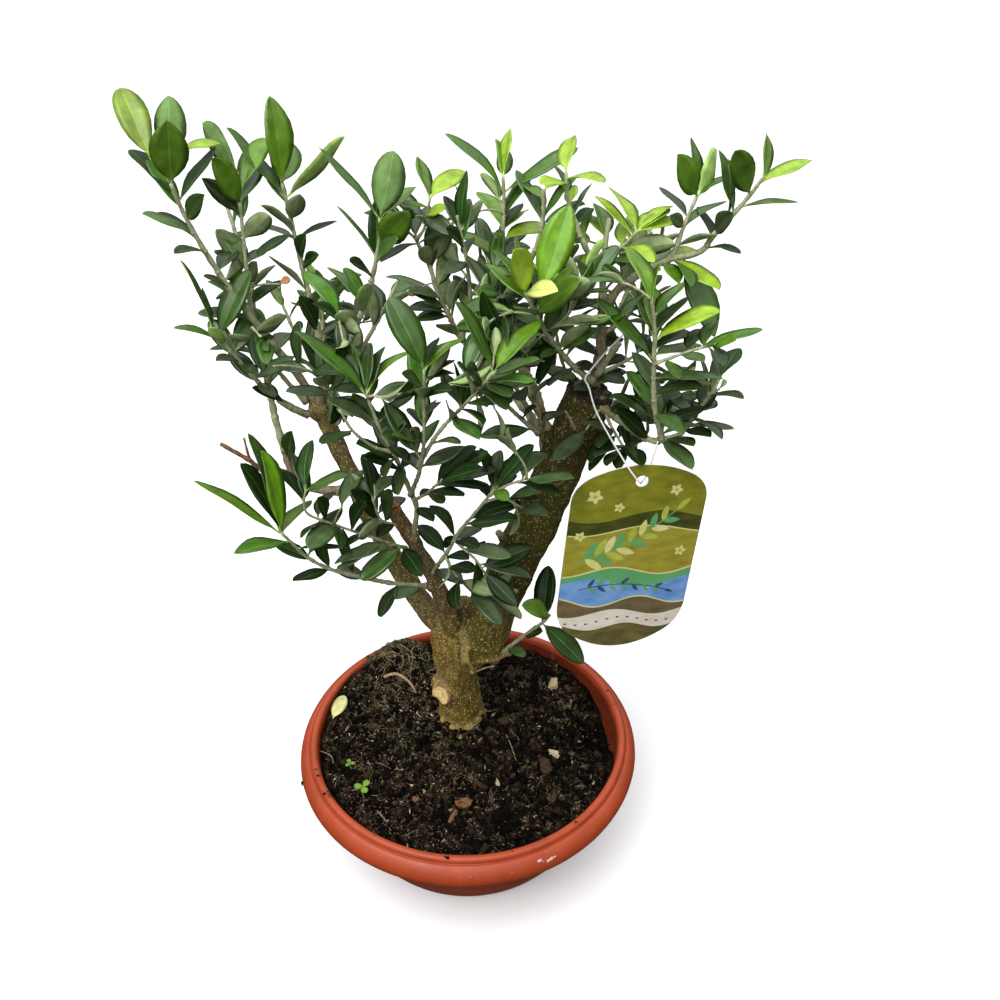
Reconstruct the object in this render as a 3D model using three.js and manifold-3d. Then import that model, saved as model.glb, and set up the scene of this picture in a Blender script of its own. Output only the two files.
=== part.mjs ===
// A small olive tree trained as a bonsai, in a shallow round bowl with a rolled rim, with a card tag on a thread.
// Millimetres, +Z up. The origin is the centre of the bowl's flat underside; -Y is the side that the tag hangs on.
import * as THREE from 'three';
import { mergeVertices } from 'three/addons/utils/BufferGeometryUtils.js';
import Module from 'manifold-3d';

const wasm = await Module();
wasm.setup();
const { Manifold, Mesh } = wasm;

// ---------------------------------------------------------------- sizes

const GAP = 0.4;                 // air between two pieces that meet

const POT_HEIGHT = 75;           // underside to the top of the lip
const POT_RADIUS = 110;          // widest point of the convex band
const POT_BULGE_Z = 62.4;        // height of that widest point
const POT_BAND_FOOT_Z = 58;      // lower edge of the band
const POT_FOOT_RADIUS = 73;      // flat underside
const POT_LIP_INNER = 97.9;      // inner edge of the lip
const POT_LIP_OUTER = 103.4;     // groove between the lip and the band
const POT_FLOOR = 3.2;           // thickness of the floor
const POT_SIDES = 32;

const SOIL_EDGE_Z = 65.5;        // soil height along the wall
const SOIL_RISE = 6;             // how far it rises to the trunk
const SOIL_SIDES = POT_SIDES;
const SOIL_RINGS = 5;

const TRUNK_FOOT_Z = 72;         // flat cut at the soil
const TRUNK_X = -5;
const TRUNK_Y = 18;
const TRUNK_SIDES = 14;
const TRUNK_FLARE = 0.16;        // root flare, as a share of the radius
// height above the cut, shift in x and y, half width in x and in y
const TRUNK_STATIONS = [
  [0, 0, 0, 15.2, 14.6],
  [7, -0.5, 0, 13.6, 13.2],
  [20, -1.8, -0.5, 12.8, 12.6],
  [36, -3, -1.5, 12.7, 12.6],
  [50, 0.5, -3, 16.5, 13.6],
  [62, 4.5, -4, 22.5, 14.6],
  [74, 5.5, -4, 25, 14.2],
  [81, 5.5, -4, 20, 10.5],
];

// Limbs and boughs, each from inside the one that carries it: its bends, and its radius at both ends.
const LIMBS = [
  { name: 'limb_right', bends: [[8, 14, 142], [24, 13, 187], [41, 13, 230], [55, 14, 270], [70, 16, 316]], radii: [15.8, 12.6], sides: 9, steps: 7 },
  { name: 'limb_left', bends: [[-9, 18, 142], [-29, 22, 165], [-57, 32, 219], [-67, 35, 250], [-81, 38, 291]], radii: [7.4, 4.8], sides: 8, steps: 8 },
  { name: 'limb_middle', bends: [[-6, 11, 146], [-16, 4, 189], [-23, -2, 215], [-38, -14, 260]], radii: [6.8, 4.2], sides: 7, steps: 6 },
  { name: 'bough_left_branch', bends: [[-65, 34, 239], [-87, 32, 242], [-99, 30, 255], [-105, 30, 288], [-112, 36, 346]], radii: [3.2, 2.0] },
  { name: 'bough_left_tip', bends: [[-79, 37, 285], [-91, 40, 311], [-104, 36, 333], [-117, 29, 362]], radii: [3.5, 2.4] },
  { name: 'bough_left_top', bends: [[-80, 38, 286], [-80, 46, 312], [-82, 53, 339], [-84, 56, 358]], radii: [3.5, 2.4] },
  { name: 'bough_left_side', bends: [[-80, 37, 284], [-92, 34, 293], [-103, 29, 305]], radii: [2.3, 1.8] },
  { name: 'bough_centre_left', bends: [[-79, 37, 287], [-72, 30, 318], [-59, 21, 342]], radii: [3.3, 2.4] },
  { name: 'bough_back_left', bends: [[-73, 36, 268], [-80, 56, 287], [-82, 70, 303]], radii: [3.0, 2.2] },
  { name: 'bough_right_upright', bends: [[69, 16, 308], [74, 18, 338], [74, 21, 370]], radii: [4.4, 3.2] },
  { name: 'bough_right_tip', bends: [[74, 19, 350], [83, 22, 369], [95, 26, 379], [112, 28, 387]], radii: [3.3, 2.4] },
  { name: 'bough_right_front', bends: [[67, 13, 309], [63, 5, 328], [54, -1, 343]], radii: [3.0, 2.3] },
  { name: 'bough_right_side', bends: [[69, 15, 306], [86, -4, 306], [96, -14, 303], [102.5, -20, 307], [99.5, -23, 320], [97.5, -25, 330]], radii: [2.7, 2.0] },
  { name: 'bough_centre', bends: [[47, 14, 281], [32, 22, 304], [14, 30, 325], [3, 35, 338]], radii: [3.3, 2.4] },
  { name: 'bough_top_centre', bends: [[52, 15, 283], [38, 34, 305], [29, 48, 327], [27, 51, 343]], radii: [3.3, 2.4] },
  { name: 'bough_back_centre', bends: [[46, 14, 268], [44, 42, 294], [33, 58, 312]], radii: [3.0, 2.2] },
  { name: 'bough_back_right', bends: [[69, 17, 304], [78, 40, 328], [87, 55, 341]], radii: [3.0, 2.2] },
  { name: 'bough_low_left', bends: [[-19, 1, 199], [-38, -8, 202], [-52, -17, 213]], radii: [2.5, 2.0] },
  { name: 'bough_low_centre', bends: [[-21, 0, 206], [-9, -14, 228], [-4, -21, 239]], radii: [2.5, 2.0] },
  { name: 'bough_front_left', bends: [[-30, -8, 236], [-24, -16, 260], [-27, -21, 278], [-30, -25, 292]], radii: [2.7, 2.0] },
  { name: 'shoot_base', bends: [[19, 13, 132], [33, 0, 153], [38, -4, 161]], radii: [1.9, 1.5] },
  { name: 'twig_dead', bends: [[-103, 30, 265], [-119, 20, 268], [-133, 12, 284]], radii: [1.9, 1.7] },
];
const BOUGH_SIDES = 6;
const BOUGH_STEPS = 4;

// Foliage masses, each the outline of one or two leafy sprays: foot, tip and half width of a spray.
const MASSES = [
  { name: 'foliage_left_tip', sprays: [[[-114, 31, 357], [-143, 3, 472], 21]] },
  { name: 'foliage_left_rear', sprays: [[[-112, 37, 344], [-121, 48, 446], 18], [[-113, 46, 352], [-132, 90, 400], 20]] },
  { name: 'foliage_left_top', sprays: [[[-83, 55, 346], [-86, 60, 456], 23]] },
  { name: 'foliage_left_side', sprays: [[[-98, 31, 300], [-137, 4, 388], 20]] },
  { name: 'foliage_left_inner', sprays: [[[-66, 12, 294], [-84, -16, 376], 25]] },
  { name: 'foliage_centre_left', sprays: [[[-61, 22, 336], [-30, -2, 447], 22]] },
  { name: 'foliage_centre', sprays: [[[6, 34, 332], [-20, 47, 424], 24]] },
  { name: 'foliage_front_left', sprays: [[[-29, -23, 284], [-50, -44, 370], 20], [[-27, -26, 288], [-16, -62, 398], 21], [[-29, -22, 282], [-62, -10, 224], 18]] },
  { name: 'foliage_front', sprays: [[[-6, -42, 314], [28, -70, 388], 20]] },
  { name: 'foliage_low_left', sprays: [[[-46, -13, 208], [-136, -52, 290], 20]] },
  { name: 'foliage_low_centre', sprays: [[[-8, -17, 230], [33, -50, 316], 20], [[-8, -16, 228], [30, -34, 192], 17]] },
  { name: 'foliage_inner_right', sprays: [[[36, -6, 322], [18, -8, 392], 20]] },
  { name: 'foliage_top_centre', sprays: [[[28, 50, 334], [25, 63, 442], 23]] },
  { name: 'foliage_right_front', sprays: [[[57, 1, 336], [42, -36, 430], 20]] },
  { name: 'foliage_right_top', sprays: [[[74, 21, 360], [56, 34, 446], 24]] },
  { name: 'foliage_right_tip', sprays: [[[106, 27, 383], [163, 14, 442], 19]] },
  { name: 'foliage_right_high', sprays: [[[98, 29, 382], [121, 44, 444], 19]] },
  { name: 'foliage_right_side', sprays: [[[98, -22, 322], [92, -36, 414], 22]] },
  { name: 'foliage_right_low', sprays: [[[101, -10, 309], [152, 2, 336], 20]] },
  { name: 'foliage_right_under', sprays: [[[88, 22, 312], [128, 22, 284], 19]] },
  { name: 'foliage_back_left', sprays: [[[-81, 66, 297], [-86, 124, 340], 26]] },
  { name: 'foliage_back_middle', sprays: [[[-76, 62, 292], [-34, 104, 352], 24]] },
  { name: 'foliage_back_centre', sprays: [[[36, 55, 309], [8, 126, 366], 26]] },
  { name: 'foliage_back_right', sprays: [[[85, 53, 339], [112, 116, 378], 26]] },
  { name: 'foliage_base', sprays: [[[36, -2, 156], [50, -17, 216], 12]] },
];
const SPRAY_SIDES = 9;
const SPRAY_RINGS = 6;
const SPRAY_UNEVEN = 0.2;       // how far a spray's leaves break its outline

const TAG_HOLE = [94.5, -30, 286.7];   // centre of the tag's hole
const TAG_HOLE_RADIUS = 3.4;
const TAG_MID = 0.8;             // the card's middle line, its top and its bottom, from its hole
const TAG_PEAK = 9.8;
const TAG_BOTTOM = -111.5;
const TAG_HALF = 37.2;           // half its width
const TAG_BEND = 26;             // where each arch runs into its corners, from the middle line
const TAG_THICK = 0.8;
const TAG_TURN = 0.18;           // turn about the vertical, radians
const TAG_LEAN = 0.075;          // swing in its own plane, radians

const THREAD_RADIUS = 0.6;
const THREAD_SIDES = 6;
const THREAD_STEPS = 18;
// from the front of one bough, down through the tag's hole and up to the next bough
const THREAD_ROUTE = [[62, -1.5, 331], [71, -16, 318], [84, -31.5, 300], [91.6, -36, 290.4], [94.7, -30, 286.4], [97.4, -27.6, 290], [99.8, -26, 299], [102, -22.4, 306]];

// ---------------------------------------------------------------- helpers

const vec = (p) => new THREE.Vector3(...p);

// Shared corners merged, faces turned outwards.
function closed(source) {
  const bare = source.index ? source.clone() : source;
  for (const key of Object.keys(bare.attributes)) if (key !== 'position') bare.deleteAttribute(key);
  const geometry = mergeVertices(bare, 1e-3);
  const p = geometry.attributes.position;
  const kept = [];
  const index = geometry.index.array;
  for (let i = 0; i < index.length; i += 3) {
    const [a, b, c] = [index[i], index[i + 1], index[i + 2]];
    if (a !== b && b !== c && c !== a) kept.push(a, b, c);
  }
  let volume = 0;
  const [A, B, C] = [new THREE.Vector3(), new THREE.Vector3(), new THREE.Vector3()];
  for (let i = 0; i < kept.length; i += 3) {
    A.fromBufferAttribute(p, kept[i]);
    B.fromBufferAttribute(p, kept[i + 1]);
    C.fromBufferAttribute(p, kept[i + 2]);
    volume += A.dot(B.cross(C));
  }
  if (volume < 0) for (let i = 0; i < kept.length; i += 3) [kept[i + 1], kept[i + 2]] = [kept[i + 2], kept[i + 1]];
  geometry.setIndex(kept);
  return geometry;
}

function solid(geometry) {
  const g = closed(geometry);
  return new Manifold(new Mesh({
    numProp: 3,
    vertProperties: new Float32Array(g.attributes.position.array),
    triVerts: new Uint32Array(g.index.array),
  }));
}

// The largest single body of a cut solid.
function mainBody(cut) {
  return cut.decompose().sort((a, b) => b.volume() - a.volume())[0];
}

function geometryOf(body) {
  const mesh = body.getMesh();
  const g = new THREE.BufferGeometry();
  const count = mesh.vertProperties.length / mesh.numProp;
  const positions = new Float32Array(count * 3);
  for (let i = 0; i < count; i++) for (let k = 0; k < 3; k++) positions[i * 3 + k] = mesh.vertProperties[i * mesh.numProp + k];
  g.setAttribute('position', new THREE.BufferAttribute(positions, 3));
  g.setIndex(Array.from(mesh.triVerts));
  g.computeVertexNormals();
  return g;
}

// Carries a geometry whose axis is Y onto a curve. place(t, x, z) gives the offsets across the curve.
function alongCurve(geometry, curve, steps, low, high, offset, reach) {
  const frames = curve.computeFrenetFrames(steps, false);
  const p = geometry.attributes.position;
  const v = new THREE.Vector3();
  for (let i = 0; i < p.count; i++) {
    v.fromBufferAttribute(p, i);
    const t = Math.min(1, Math.max(0, (v.y - low) / (high - low)));
    const at = t * steps;
    const j = Math.min(steps - 1, Math.floor(at));
    const f = at - j;
    const N = frames.normals[j].clone().lerp(frames.normals[j + 1], f).normalize();
    const B = frames.binormals[j].clone().lerp(frames.binormals[j + 1], f).normalize();
    const T = frames.tangents[j].clone().lerp(frames.tangents[j + 1], f).normalize();
    const [a, b] = offset(t, v.x, v.z);
    const q = curve.getPointAt(t).addScaledVector(N, a).addScaledVector(B, b);
    q.addScaledVector(T, reach * (2 * t - 1));
    p.setXYZ(i, q.x, q.y, q.z);
  }
  return geometry;
}

// A limb: a round rod that tapers along its bends.
function limb({ bends, radii, sides = BOUGH_SIDES, steps = BOUGH_STEPS }, grow = 0) {
  const curve = new THREE.CatmullRomCurve3(bends.map(vec));
  const rod = new THREE.CylinderGeometry(1, 1, 1, sides, steps);
  return alongCurve(rod, curve, steps, -0.5, 0.5, (t, x, z) => {
    const r = radii[0] + (radii[1] - radii[0]) * t + grow;
    return [x * r, z * r];
  }, grow);
}

// A leafy spray: an uneven spindle, fullest past its middle.
function spray([foot, tip, girth], seed, grow = 0) {
  const curve = new THREE.LineCurve3(vec(foot), vec(tip));
  const ball = new THREE.SphereGeometry(1, SPRAY_SIDES, SPRAY_RINGS);
  return alongCurve(ball, curve, 1, -1, 1, (t, x, z) => {
    const around = Math.atan2(z, x);
    const uneven = 1 + SPRAY_UNEVEN * (Math.sin(2 * around + seed) + 0.7 * Math.sin(3 * around + 7 * t + 1.7 * seed) + 0.6 * Math.sin(12 * t + 2.3 * seed));
    const full = 0.78 + 0.42 * t;
    const across = Math.hypot(x, z);
    const r = across ? (girth * full * uneven * Math.pow(across, 0.8) + grow) / across : 0;
    return [x * r, z * r];
  }, grow);
}

function turned(profile, sides) {
  const lathe = new THREE.LatheGeometry(profile.map(([r, z]) => new THREE.Vector2(r, z)), sides);
  return lathe.rotateX(Math.PI / 2);
}

// ---------------------------------------------------------------- the pieces

const group = new THREE.Group();

function piece(name, geometry, color, roughness, metalness = 0) {
  const mesh = new THREE.Mesh(geometry, new THREE.MeshStandardMaterial({ color, roughness, metalness }));
  mesh.name = name;
  group.add(mesh);
  return mesh;
}

const TERRACOTTA = 0xc4573b;
const EARTH = 0x2b211b;
const BARK = 0x6b5a34;
const TWIG = 0x8f8a63;
const DEAD = 0x9c6a4c;
const LEAF = 0x3f5f2a;
const YOUNG_LEAF = 0x7fae35;

// Bowl: flat foot, curved wall, a rolled band with a hollow behind its lower edge, a groove and a rounded lip.
const potProfile = [
  [0, 0], [POT_FOOT_RADIUS, 0], [POT_FOOT_RADIUS + 3.2, 3.8], [84.5, 20], [93, 40], [98.4, 55], [101.5, 63], [104.5, 63.4], [106, 58.6],
  [POT_RADIUS - 1.2, POT_BAND_FOOT_Z], [POT_RADIUS, POT_BULGE_Z], [108.2, 68], [105, 71.6], [POT_LIP_OUTER, 72],
  [102.6, 74.4], [100.8, POT_HEIGHT], [98.8, 74.4], [POT_LIP_INNER, 72.6],
  [97, 66], [96.1, 58], [90.2, 42], [82.4, 24], [POT_FOOT_RADIUS - 1, 6.4], [POT_FOOT_RADIUS - 5, POT_FLOOR], [0, POT_FLOOR],
];
piece('pot', closed(turned(potProfile, POT_SIDES)), TERRACOTTA, 0.45);

// Soil: fills the bowl, rises to the trunk and the left-hand wall, mounds up with moss behind on the left and sinks at the right-hand wall.
function soilTop(x, y) {
  const bump = (cx, cy, w, h) => h * Math.exp(-((x - cx) ** 2 + (y - cy) ** 2) / (w * w));
  const rough = 0.9 * Math.sin(0.16 * x + 1.3) * Math.sin(0.19 * y) + 0.6 * Math.sin(0.31 * x - 0.23 * y);
  const mound = 14 * Math.exp(-(((x + 52) / 24) ** 2) - ((y - 73) / 19) ** 2) * Math.min(1, Math.max(0, (97.5 - Math.hypot(x, y)) / 6));
  const ground = SOIL_EDGE_Z + bump(TRUNK_X, TRUNK_Y, 52, SOIL_RISE) + mound + bump(-84, 30, 44, 5.5) - bump(84, -4, 24, 6) + rough;
  const near = Math.hypot(x - TRUNK_X, y - TRUNK_Y);
  const seat = TRUNK_FOOT_Z - GAP;
  const mix = Math.min(1, Math.max(0, (near - 23) / 12));
  return seat + (Math.min(ground, seat + 30) - seat) * mix;
}
const soilProfile = [[0, POT_FLOOR + GAP], [POT_FOOT_RADIUS - 6, POT_FLOOR + GAP], [81.4, 24.4], [89.3, 42.4], [93.7, 58]];
for (let i = 0; i <= SOIL_RINGS; i++) soilProfile.push([95.6 * (1 - i / SOIL_RINGS), 66]);
const soil = turned(soilProfile, SOIL_SIDES);
{
  const p = soil.attributes.position;
  for (let i = 0; i < p.count; i++) if (p.getZ(i) > 65) p.setZ(i, soilTop(p.getX(i), p.getY(i)));
}

// Trunk: level rings from the cut at the soil, through the flare, to the swollen fork.
function trunk(grow = 0) {
  const steps = TRUNK_STATIONS.length - 1;
  const rod = new THREE.CylinderGeometry(1, 1, 1, TRUNK_SIDES, steps);
  const p = rod.attributes.position;
  for (let i = 0; i < p.count; i++) {
    const k = Math.round((p.getY(i) + 0.5) * steps);
    const [z, dx, dy, rx, ry] = TRUNK_STATIONS[k];
    const [x, y] = [p.getX(i), -p.getZ(i)];
    const around = Math.atan2(y, x);
    const flare = 1 + TRUNK_FLARE * Math.max(0, 1 - z / 14) * Math.sin(4 * around + 0.7);
    const end = k === 0 ? -grow : k === steps ? grow : 0;
    p.setXYZ(i, TRUNK_X + dx + x * (rx * flare + grow), TRUNK_Y + dy + y * (ry * flare + grow), TRUNK_FOOT_Z + z + end);
  }
  return rod;
}

// Card tag: straight sides, an arched top with a hole near its peak, an arched bottom.
function tagShape(grow = 0) {
  const [m, k, l, r, t, b] = [TAG_MID, TAG_BEND, TAG_MID - TAG_HALF - grow, TAG_MID + TAG_HALF + grow, TAG_PEAK + grow, TAG_BOTTOM - grow];
  const shape = new THREE.Shape();
  shape.moveTo(l, b + 29.5);
  shape.lineTo(l, t - 22);
  shape.quadraticCurveTo(l + 0.6, t - 11.5, m - k, t - 6.2);
  shape.quadraticCurveTo(m - k / 2, t, m, t);
  shape.quadraticCurveTo(m + k / 2, t, m + k, t - 6.2);
  shape.quadraticCurveTo(r - 0.6, t - 11.5, r, t - 22);
  shape.lineTo(r, b + 29.5);
  shape.quadraticCurveTo(r - 0.5, b + 15, m + k, b + 8.5);
  shape.quadraticCurveTo(m + k / 2, b, m, b);
  shape.quadraticCurveTo(m - k / 2, b, m - k, b + 8.5);
  shape.quadraticCurveTo(l + 0.5, b + 15, l, b + 29.5);
  if (!grow) {
    const hole = new THREE.Path();
    hole.absarc(0, 0, TAG_HOLE_RADIUS, 0, 2 * Math.PI, false);
    shape.holes.push(hole);
  }
  return shape;
}
function tagCard(grow = 0) {
  const thick = TAG_THICK + 2 * grow;
  const card = new THREE.ExtrudeGeometry(tagShape(grow), { depth: thick, bevelEnabled: false, curveSegments: 5 });
  card.translate(0, 0, -thick / 2);
  card.rotateZ(-TAG_LEAN);
  card.rotateX(Math.PI / 2);
  card.rotateZ(TAG_TURN);
  return card.translate(...TAG_HOLE);
}

// Thread: a thin round cord along its route.
function thread(grow = 0) {
  const section = new THREE.Shape();
  const r = THREAD_RADIUS + grow;
  for (let i = 0; i < THREAD_SIDES; i++) {
    const a = (2 * Math.PI * i) / THREAD_SIDES;
    if (i) section.lineTo(r * Math.cos(a), r * Math.sin(a));
    else section.moveTo(r, 0);
  }
  section.closePath();
  return new THREE.ExtrudeGeometry(section, { steps: THREAD_STEPS, bevelEnabled: false, extrudePath: new THREE.CatmullRomCurve3(THREAD_ROUTE.map(vec)) });
}

// Wood: each limb is trimmed where it springs from the ones before it.
piece('soil', closed(soil), EARTH, 0.95);
piece('trunk', closed(trunk()), BARK, 0.85);
const taken = [solid(trunk(GAP))];
for (const spec of LIMBS) {
  const body = mainBody(taken.reduce((left, other) => left.subtract(other), solid(limb(spec))));
  const color = spec.name === 'twig_dead' ? DEAD : spec.name.startsWith('limb') ? BARK : TWIG;
  piece(spec.name, geometryOf(body), color, 0.8);
  taken.push(solid(limb(spec, GAP)));
}

// Tag and thread, clear of the wood.
piece('tag_card', closed(tagCard()), 0xd8d2b4, 0.35);
piece('tag_thread', geometryOf(mainBody(taken.reduce((left, other) => left.subtract(other), solid(thread())))), 0xf2f0e8, 0.7);
taken.push(solid(tagCard(GAP)), solid(thread(GAP)));

// Foliage: each mass joins its sprays, and is cut round the wood, the tag and the masses before it.
MASSES.forEach(({ name, sprays }, n) => {
  const whole = (grow) => sprays.map((s, k) => solid(spray(s, 1.9 * n + 0.8 * k, grow))).reduce((a, b) => a.add(b));
  const body = mainBody(taken.reduce((left, other) => left.subtract(other), whole(0)));
  piece(name, geometryOf(body), /right|top|tip/.test(name) ? YOUNG_LEAF : LEAF, 0.5);
  taken.push(whole(GAP));
});

export default group;
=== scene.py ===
import math
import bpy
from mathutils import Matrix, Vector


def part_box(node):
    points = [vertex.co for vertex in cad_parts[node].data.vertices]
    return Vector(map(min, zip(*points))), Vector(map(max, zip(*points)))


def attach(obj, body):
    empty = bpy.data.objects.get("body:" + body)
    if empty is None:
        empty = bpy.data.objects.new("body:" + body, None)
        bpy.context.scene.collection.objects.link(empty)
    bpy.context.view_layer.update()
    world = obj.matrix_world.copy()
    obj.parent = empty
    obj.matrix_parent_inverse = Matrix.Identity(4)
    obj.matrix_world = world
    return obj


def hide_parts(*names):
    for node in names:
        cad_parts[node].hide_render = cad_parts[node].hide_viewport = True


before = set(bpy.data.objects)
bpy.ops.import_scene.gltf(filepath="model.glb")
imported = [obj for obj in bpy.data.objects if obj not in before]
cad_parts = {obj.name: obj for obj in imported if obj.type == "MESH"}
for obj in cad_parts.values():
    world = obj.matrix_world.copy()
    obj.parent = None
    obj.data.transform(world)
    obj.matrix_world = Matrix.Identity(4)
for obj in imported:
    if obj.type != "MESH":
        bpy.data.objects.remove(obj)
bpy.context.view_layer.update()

import zlib

import bpy
import numpy as np
from mathutils import Vector, noise
from mathutils.bvhtree import BVHTree

scene = bpy.context.scene

# Lengths below are in millimetres; meshes are scaled to metres when they are made.
MM = 0.001
CAM = np.array([21.0, -466.8, 564.0])
CAM_TILT = 56.5
FOCAL = 1000.0
SIN_T, COS_T = math.sin(math.radians(CAM_TILT)), math.cos(math.radians(CAM_TILT))
UP = np.array([0.0, 0.0, 1.0])


def dice(name):
    return np.random.default_rng(zlib.crc32(name.encode()))


def unit(v):
    v = np.asarray(v, float)
    return v / max(1e-9, float(np.linalg.norm(v)))


def ray(u, v):
    """Direction from the camera through a point of the picture."""
    a, b = (u - 500.0) / FOCAL, (500.0 - v) / FOCAL
    return np.array([a, SIN_T + COS_T * b, -COS_T + SIN_T * b])


def at(u, v, y):
    """The point in space seen at (u, v) in the picture, at depth y."""
    d = ray(u, v)
    return CAM + d * ((y - CAM[1]) / d[1])


def seen(p):
    """Where a point in space shows in the picture."""
    q = np.asarray(p, float) - CAM
    depth = q[..., 1] * SIN_T - q[..., 2] * COS_T
    up = q[..., 1] * COS_T + q[..., 2] * SIN_T
    return 500 + FOCAL * q[..., 0] / depth, 500 - FOCAL * up / depth


# ------------------------------------------------------------------ materials

def srgb(r, g, b):
    c = np.array([r, g, b]) / 255.0
    lin = np.where(c <= 0.04045, c / 12.92, ((c + 0.055) / 1.055) ** 2.4)
    return (float(lin[0]), float(lin[1]), float(lin[2]), 1.0)


class Finish:
    """A principled material with a few shorthands for procedural nodes."""

    def __init__(self, name, rough=0.5, spec=0.5):
        self.mat = bpy.data.materials.new(name)
        self.mat.use_nodes = True
        self.tree = self.mat.node_tree
        self.bsdf = self.tree.nodes["Principled BSDF"]
        self.bsdf.inputs["Roughness"].default_value = rough
        self.bsdf.inputs["Specular IOR Level"].default_value = spec
        self.where = self.tree.nodes.new("ShaderNodeTexCoord").outputs["Object"]

    def link(self, a, b):
        self.tree.links.new(a, b)

    def stretch(self, scale, turn=(0, 0, 0)):
        n = self.tree.nodes.new("ShaderNodeMapping")
        n.inputs["Scale"].default_value = scale
        n.inputs["Rotation"].default_value = turn
        self.link(self.where, n.inputs["Vector"])
        return n.outputs["Vector"]

    def noise(self, scale, detail=3.0, rough=0.55, warp=0.0, vec=None):
        n = self.tree.nodes.new("ShaderNodeTexNoise")
        n.inputs["Scale"].default_value = scale
        n.inputs["Detail"].default_value = detail
        n.inputs["Roughness"].default_value = rough
        n.inputs["Distortion"].default_value = warp
        self.link(vec or self.where, n.inputs["Vector"])
        return n.outputs["Fac"]

    def cells(self, scale, feature="F1", out="Distance", vec=None, random=1.0):
        n = self.tree.nodes.new("ShaderNodeTexVoronoi")
        n.feature = feature
        n.inputs["Scale"].default_value = scale
        n.inputs["Randomness"].default_value = random
        self.link(vec or self.where, n.inputs["Vector"])
        return n.outputs[out]

    def ramp(self, fac, stops, smooth="LINEAR"):
        n = self.tree.nodes.new("ShaderNodeValToRGB")
        n.color_ramp.interpolation = smooth
        e = n.color_ramp.elements
        while len(e) < len(stops):
            e.new(0.5)
        for item, (pos, col) in zip(e, stops):
            item.position = pos
            item.color = col if len(col) == 4 else (*col, 1.0)
        self.link(fac, n.inputs["Fac"])
        return n.outputs["Color"]

    def grey(self, fac, lo, hi, v0=0.0, v1=1.0):
        return self.ramp(fac, [(lo, (v0, v0, v0)), (hi, (v1, v1, v1))])

    def mix(self, fac, a, b, how="MIX"):
        n = self.tree.nodes.new("ShaderNodeMix")
        n.data_type = "RGBA"
        n.blend_type = how
        for key, value in (("Factor", fac), ("A", a), ("B", b)):
            socket = [s for s in n.inputs if s.name == key and s.enabled and (key == "Factor" or s.type == "RGBA")]
            socket = socket[0]
            if isinstance(value, (int, float, tuple)):
                socket.default_value = value
            else:
                self.link(value, socket)
        return [s for s in n.outputs if s.type == "RGBA"][0]

    def math(self, how, a, b):
        n = self.tree.nodes.new("ShaderNodeMath")
        n.operation = how
        for k, value in enumerate((a, b)):
            if isinstance(value, (int, float)):
                n.inputs[k].default_value = value
            else:
                self.link(value, n.inputs[k])
        return n.outputs[0]

    def tint(self, name):
        n = self.tree.nodes.new("ShaderNodeAttribute")
        n.attribute_name = name
        return n.outputs["Color"]

    def bump(self, height, strength, distance, under=None):
        n = self.tree.nodes.new("ShaderNodeBump")
        n.inputs["Strength"].default_value = strength
        n.inputs["Distance"].default_value = distance
        self.link(height, n.inputs["Height"])
        if under is not None:
            self.link(under, n.inputs["Normal"])
        return n.outputs["Normal"]

    def base(self, colour):
        self.link(colour, self.bsdf.inputs["Base Color"])

    def rough(self, value):
        self.link(value, self.bsdf.inputs["Roughness"])

    def normal(self, value):
        self.link(value, self.bsdf.inputs["Normal"])


def shade(c, k):
    return tuple(float(min(255, x * k)) for x in c)


def leaf_finish(name, colour, rough, spec, grain=0.05):
    f = Finish(name, rough, spec)
    patch = f.noise(150.0, 3.0, 0.6)
    f.base(f.ramp(patch, [(0.30, srgb(*shade(colour, 0.84))), (0.52, srgb(*colour)), (0.74, srgb(*shade(colour, 1.14)))]))
    f.normal(f.bump(f.noise(1400.0, 2.0), grain, 0.0003))
    return f.mat


# ------------------------------------------------------------------ mesh making

class Pile:
    """Vertices, faces and the material of each face, gathered from arrays into one mesh."""

    def __init__(self):
        self.v, self.q, self.t, self.qm, self.tm, self.n = [], [], [], [], [], 0
        self.attr = []

    def add(self, verts, quads=None, tris=None, mat=0, qmat=None, tmat=None):
        verts = np.asarray(verts, float).reshape(-1, 3)
        if quads is not None and len(quads):
            quads = np.asarray(quads, int).reshape(-1, 4)
            self.q.append(quads + self.n)
            self.qm.append(np.full(len(quads), mat, int) if qmat is None else np.asarray(qmat, int))
        if tris is not None and len(tris):
            tris = np.asarray(tris, int).reshape(-1, 3)
            self.t.append(tris + self.n)
            self.tm.append(np.full(len(tris), mat, int) if tmat is None else np.asarray(tmat, int))
        self.v.append(verts)
        self.n += len(verts)

    def triangles(self):
        return 2 * sum(len(q) for q in self.q) + sum(len(t) for t in self.t)

    def make(self, name, mats, smooth=True, slot=None, replaces=()):
        verts = np.concatenate(self.v) * MM
        quads = np.concatenate(self.q) if self.q else np.zeros((0, 4), int)
        tris = np.concatenate(self.t) if self.t else np.zeros((0, 3), int)
        mat = np.concatenate([*self.qm, *self.tm]) if (self.qm or self.tm) else np.zeros(0, int)
        return build(name, verts, quads, tris, mat, mats, smooth, replaces)


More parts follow.
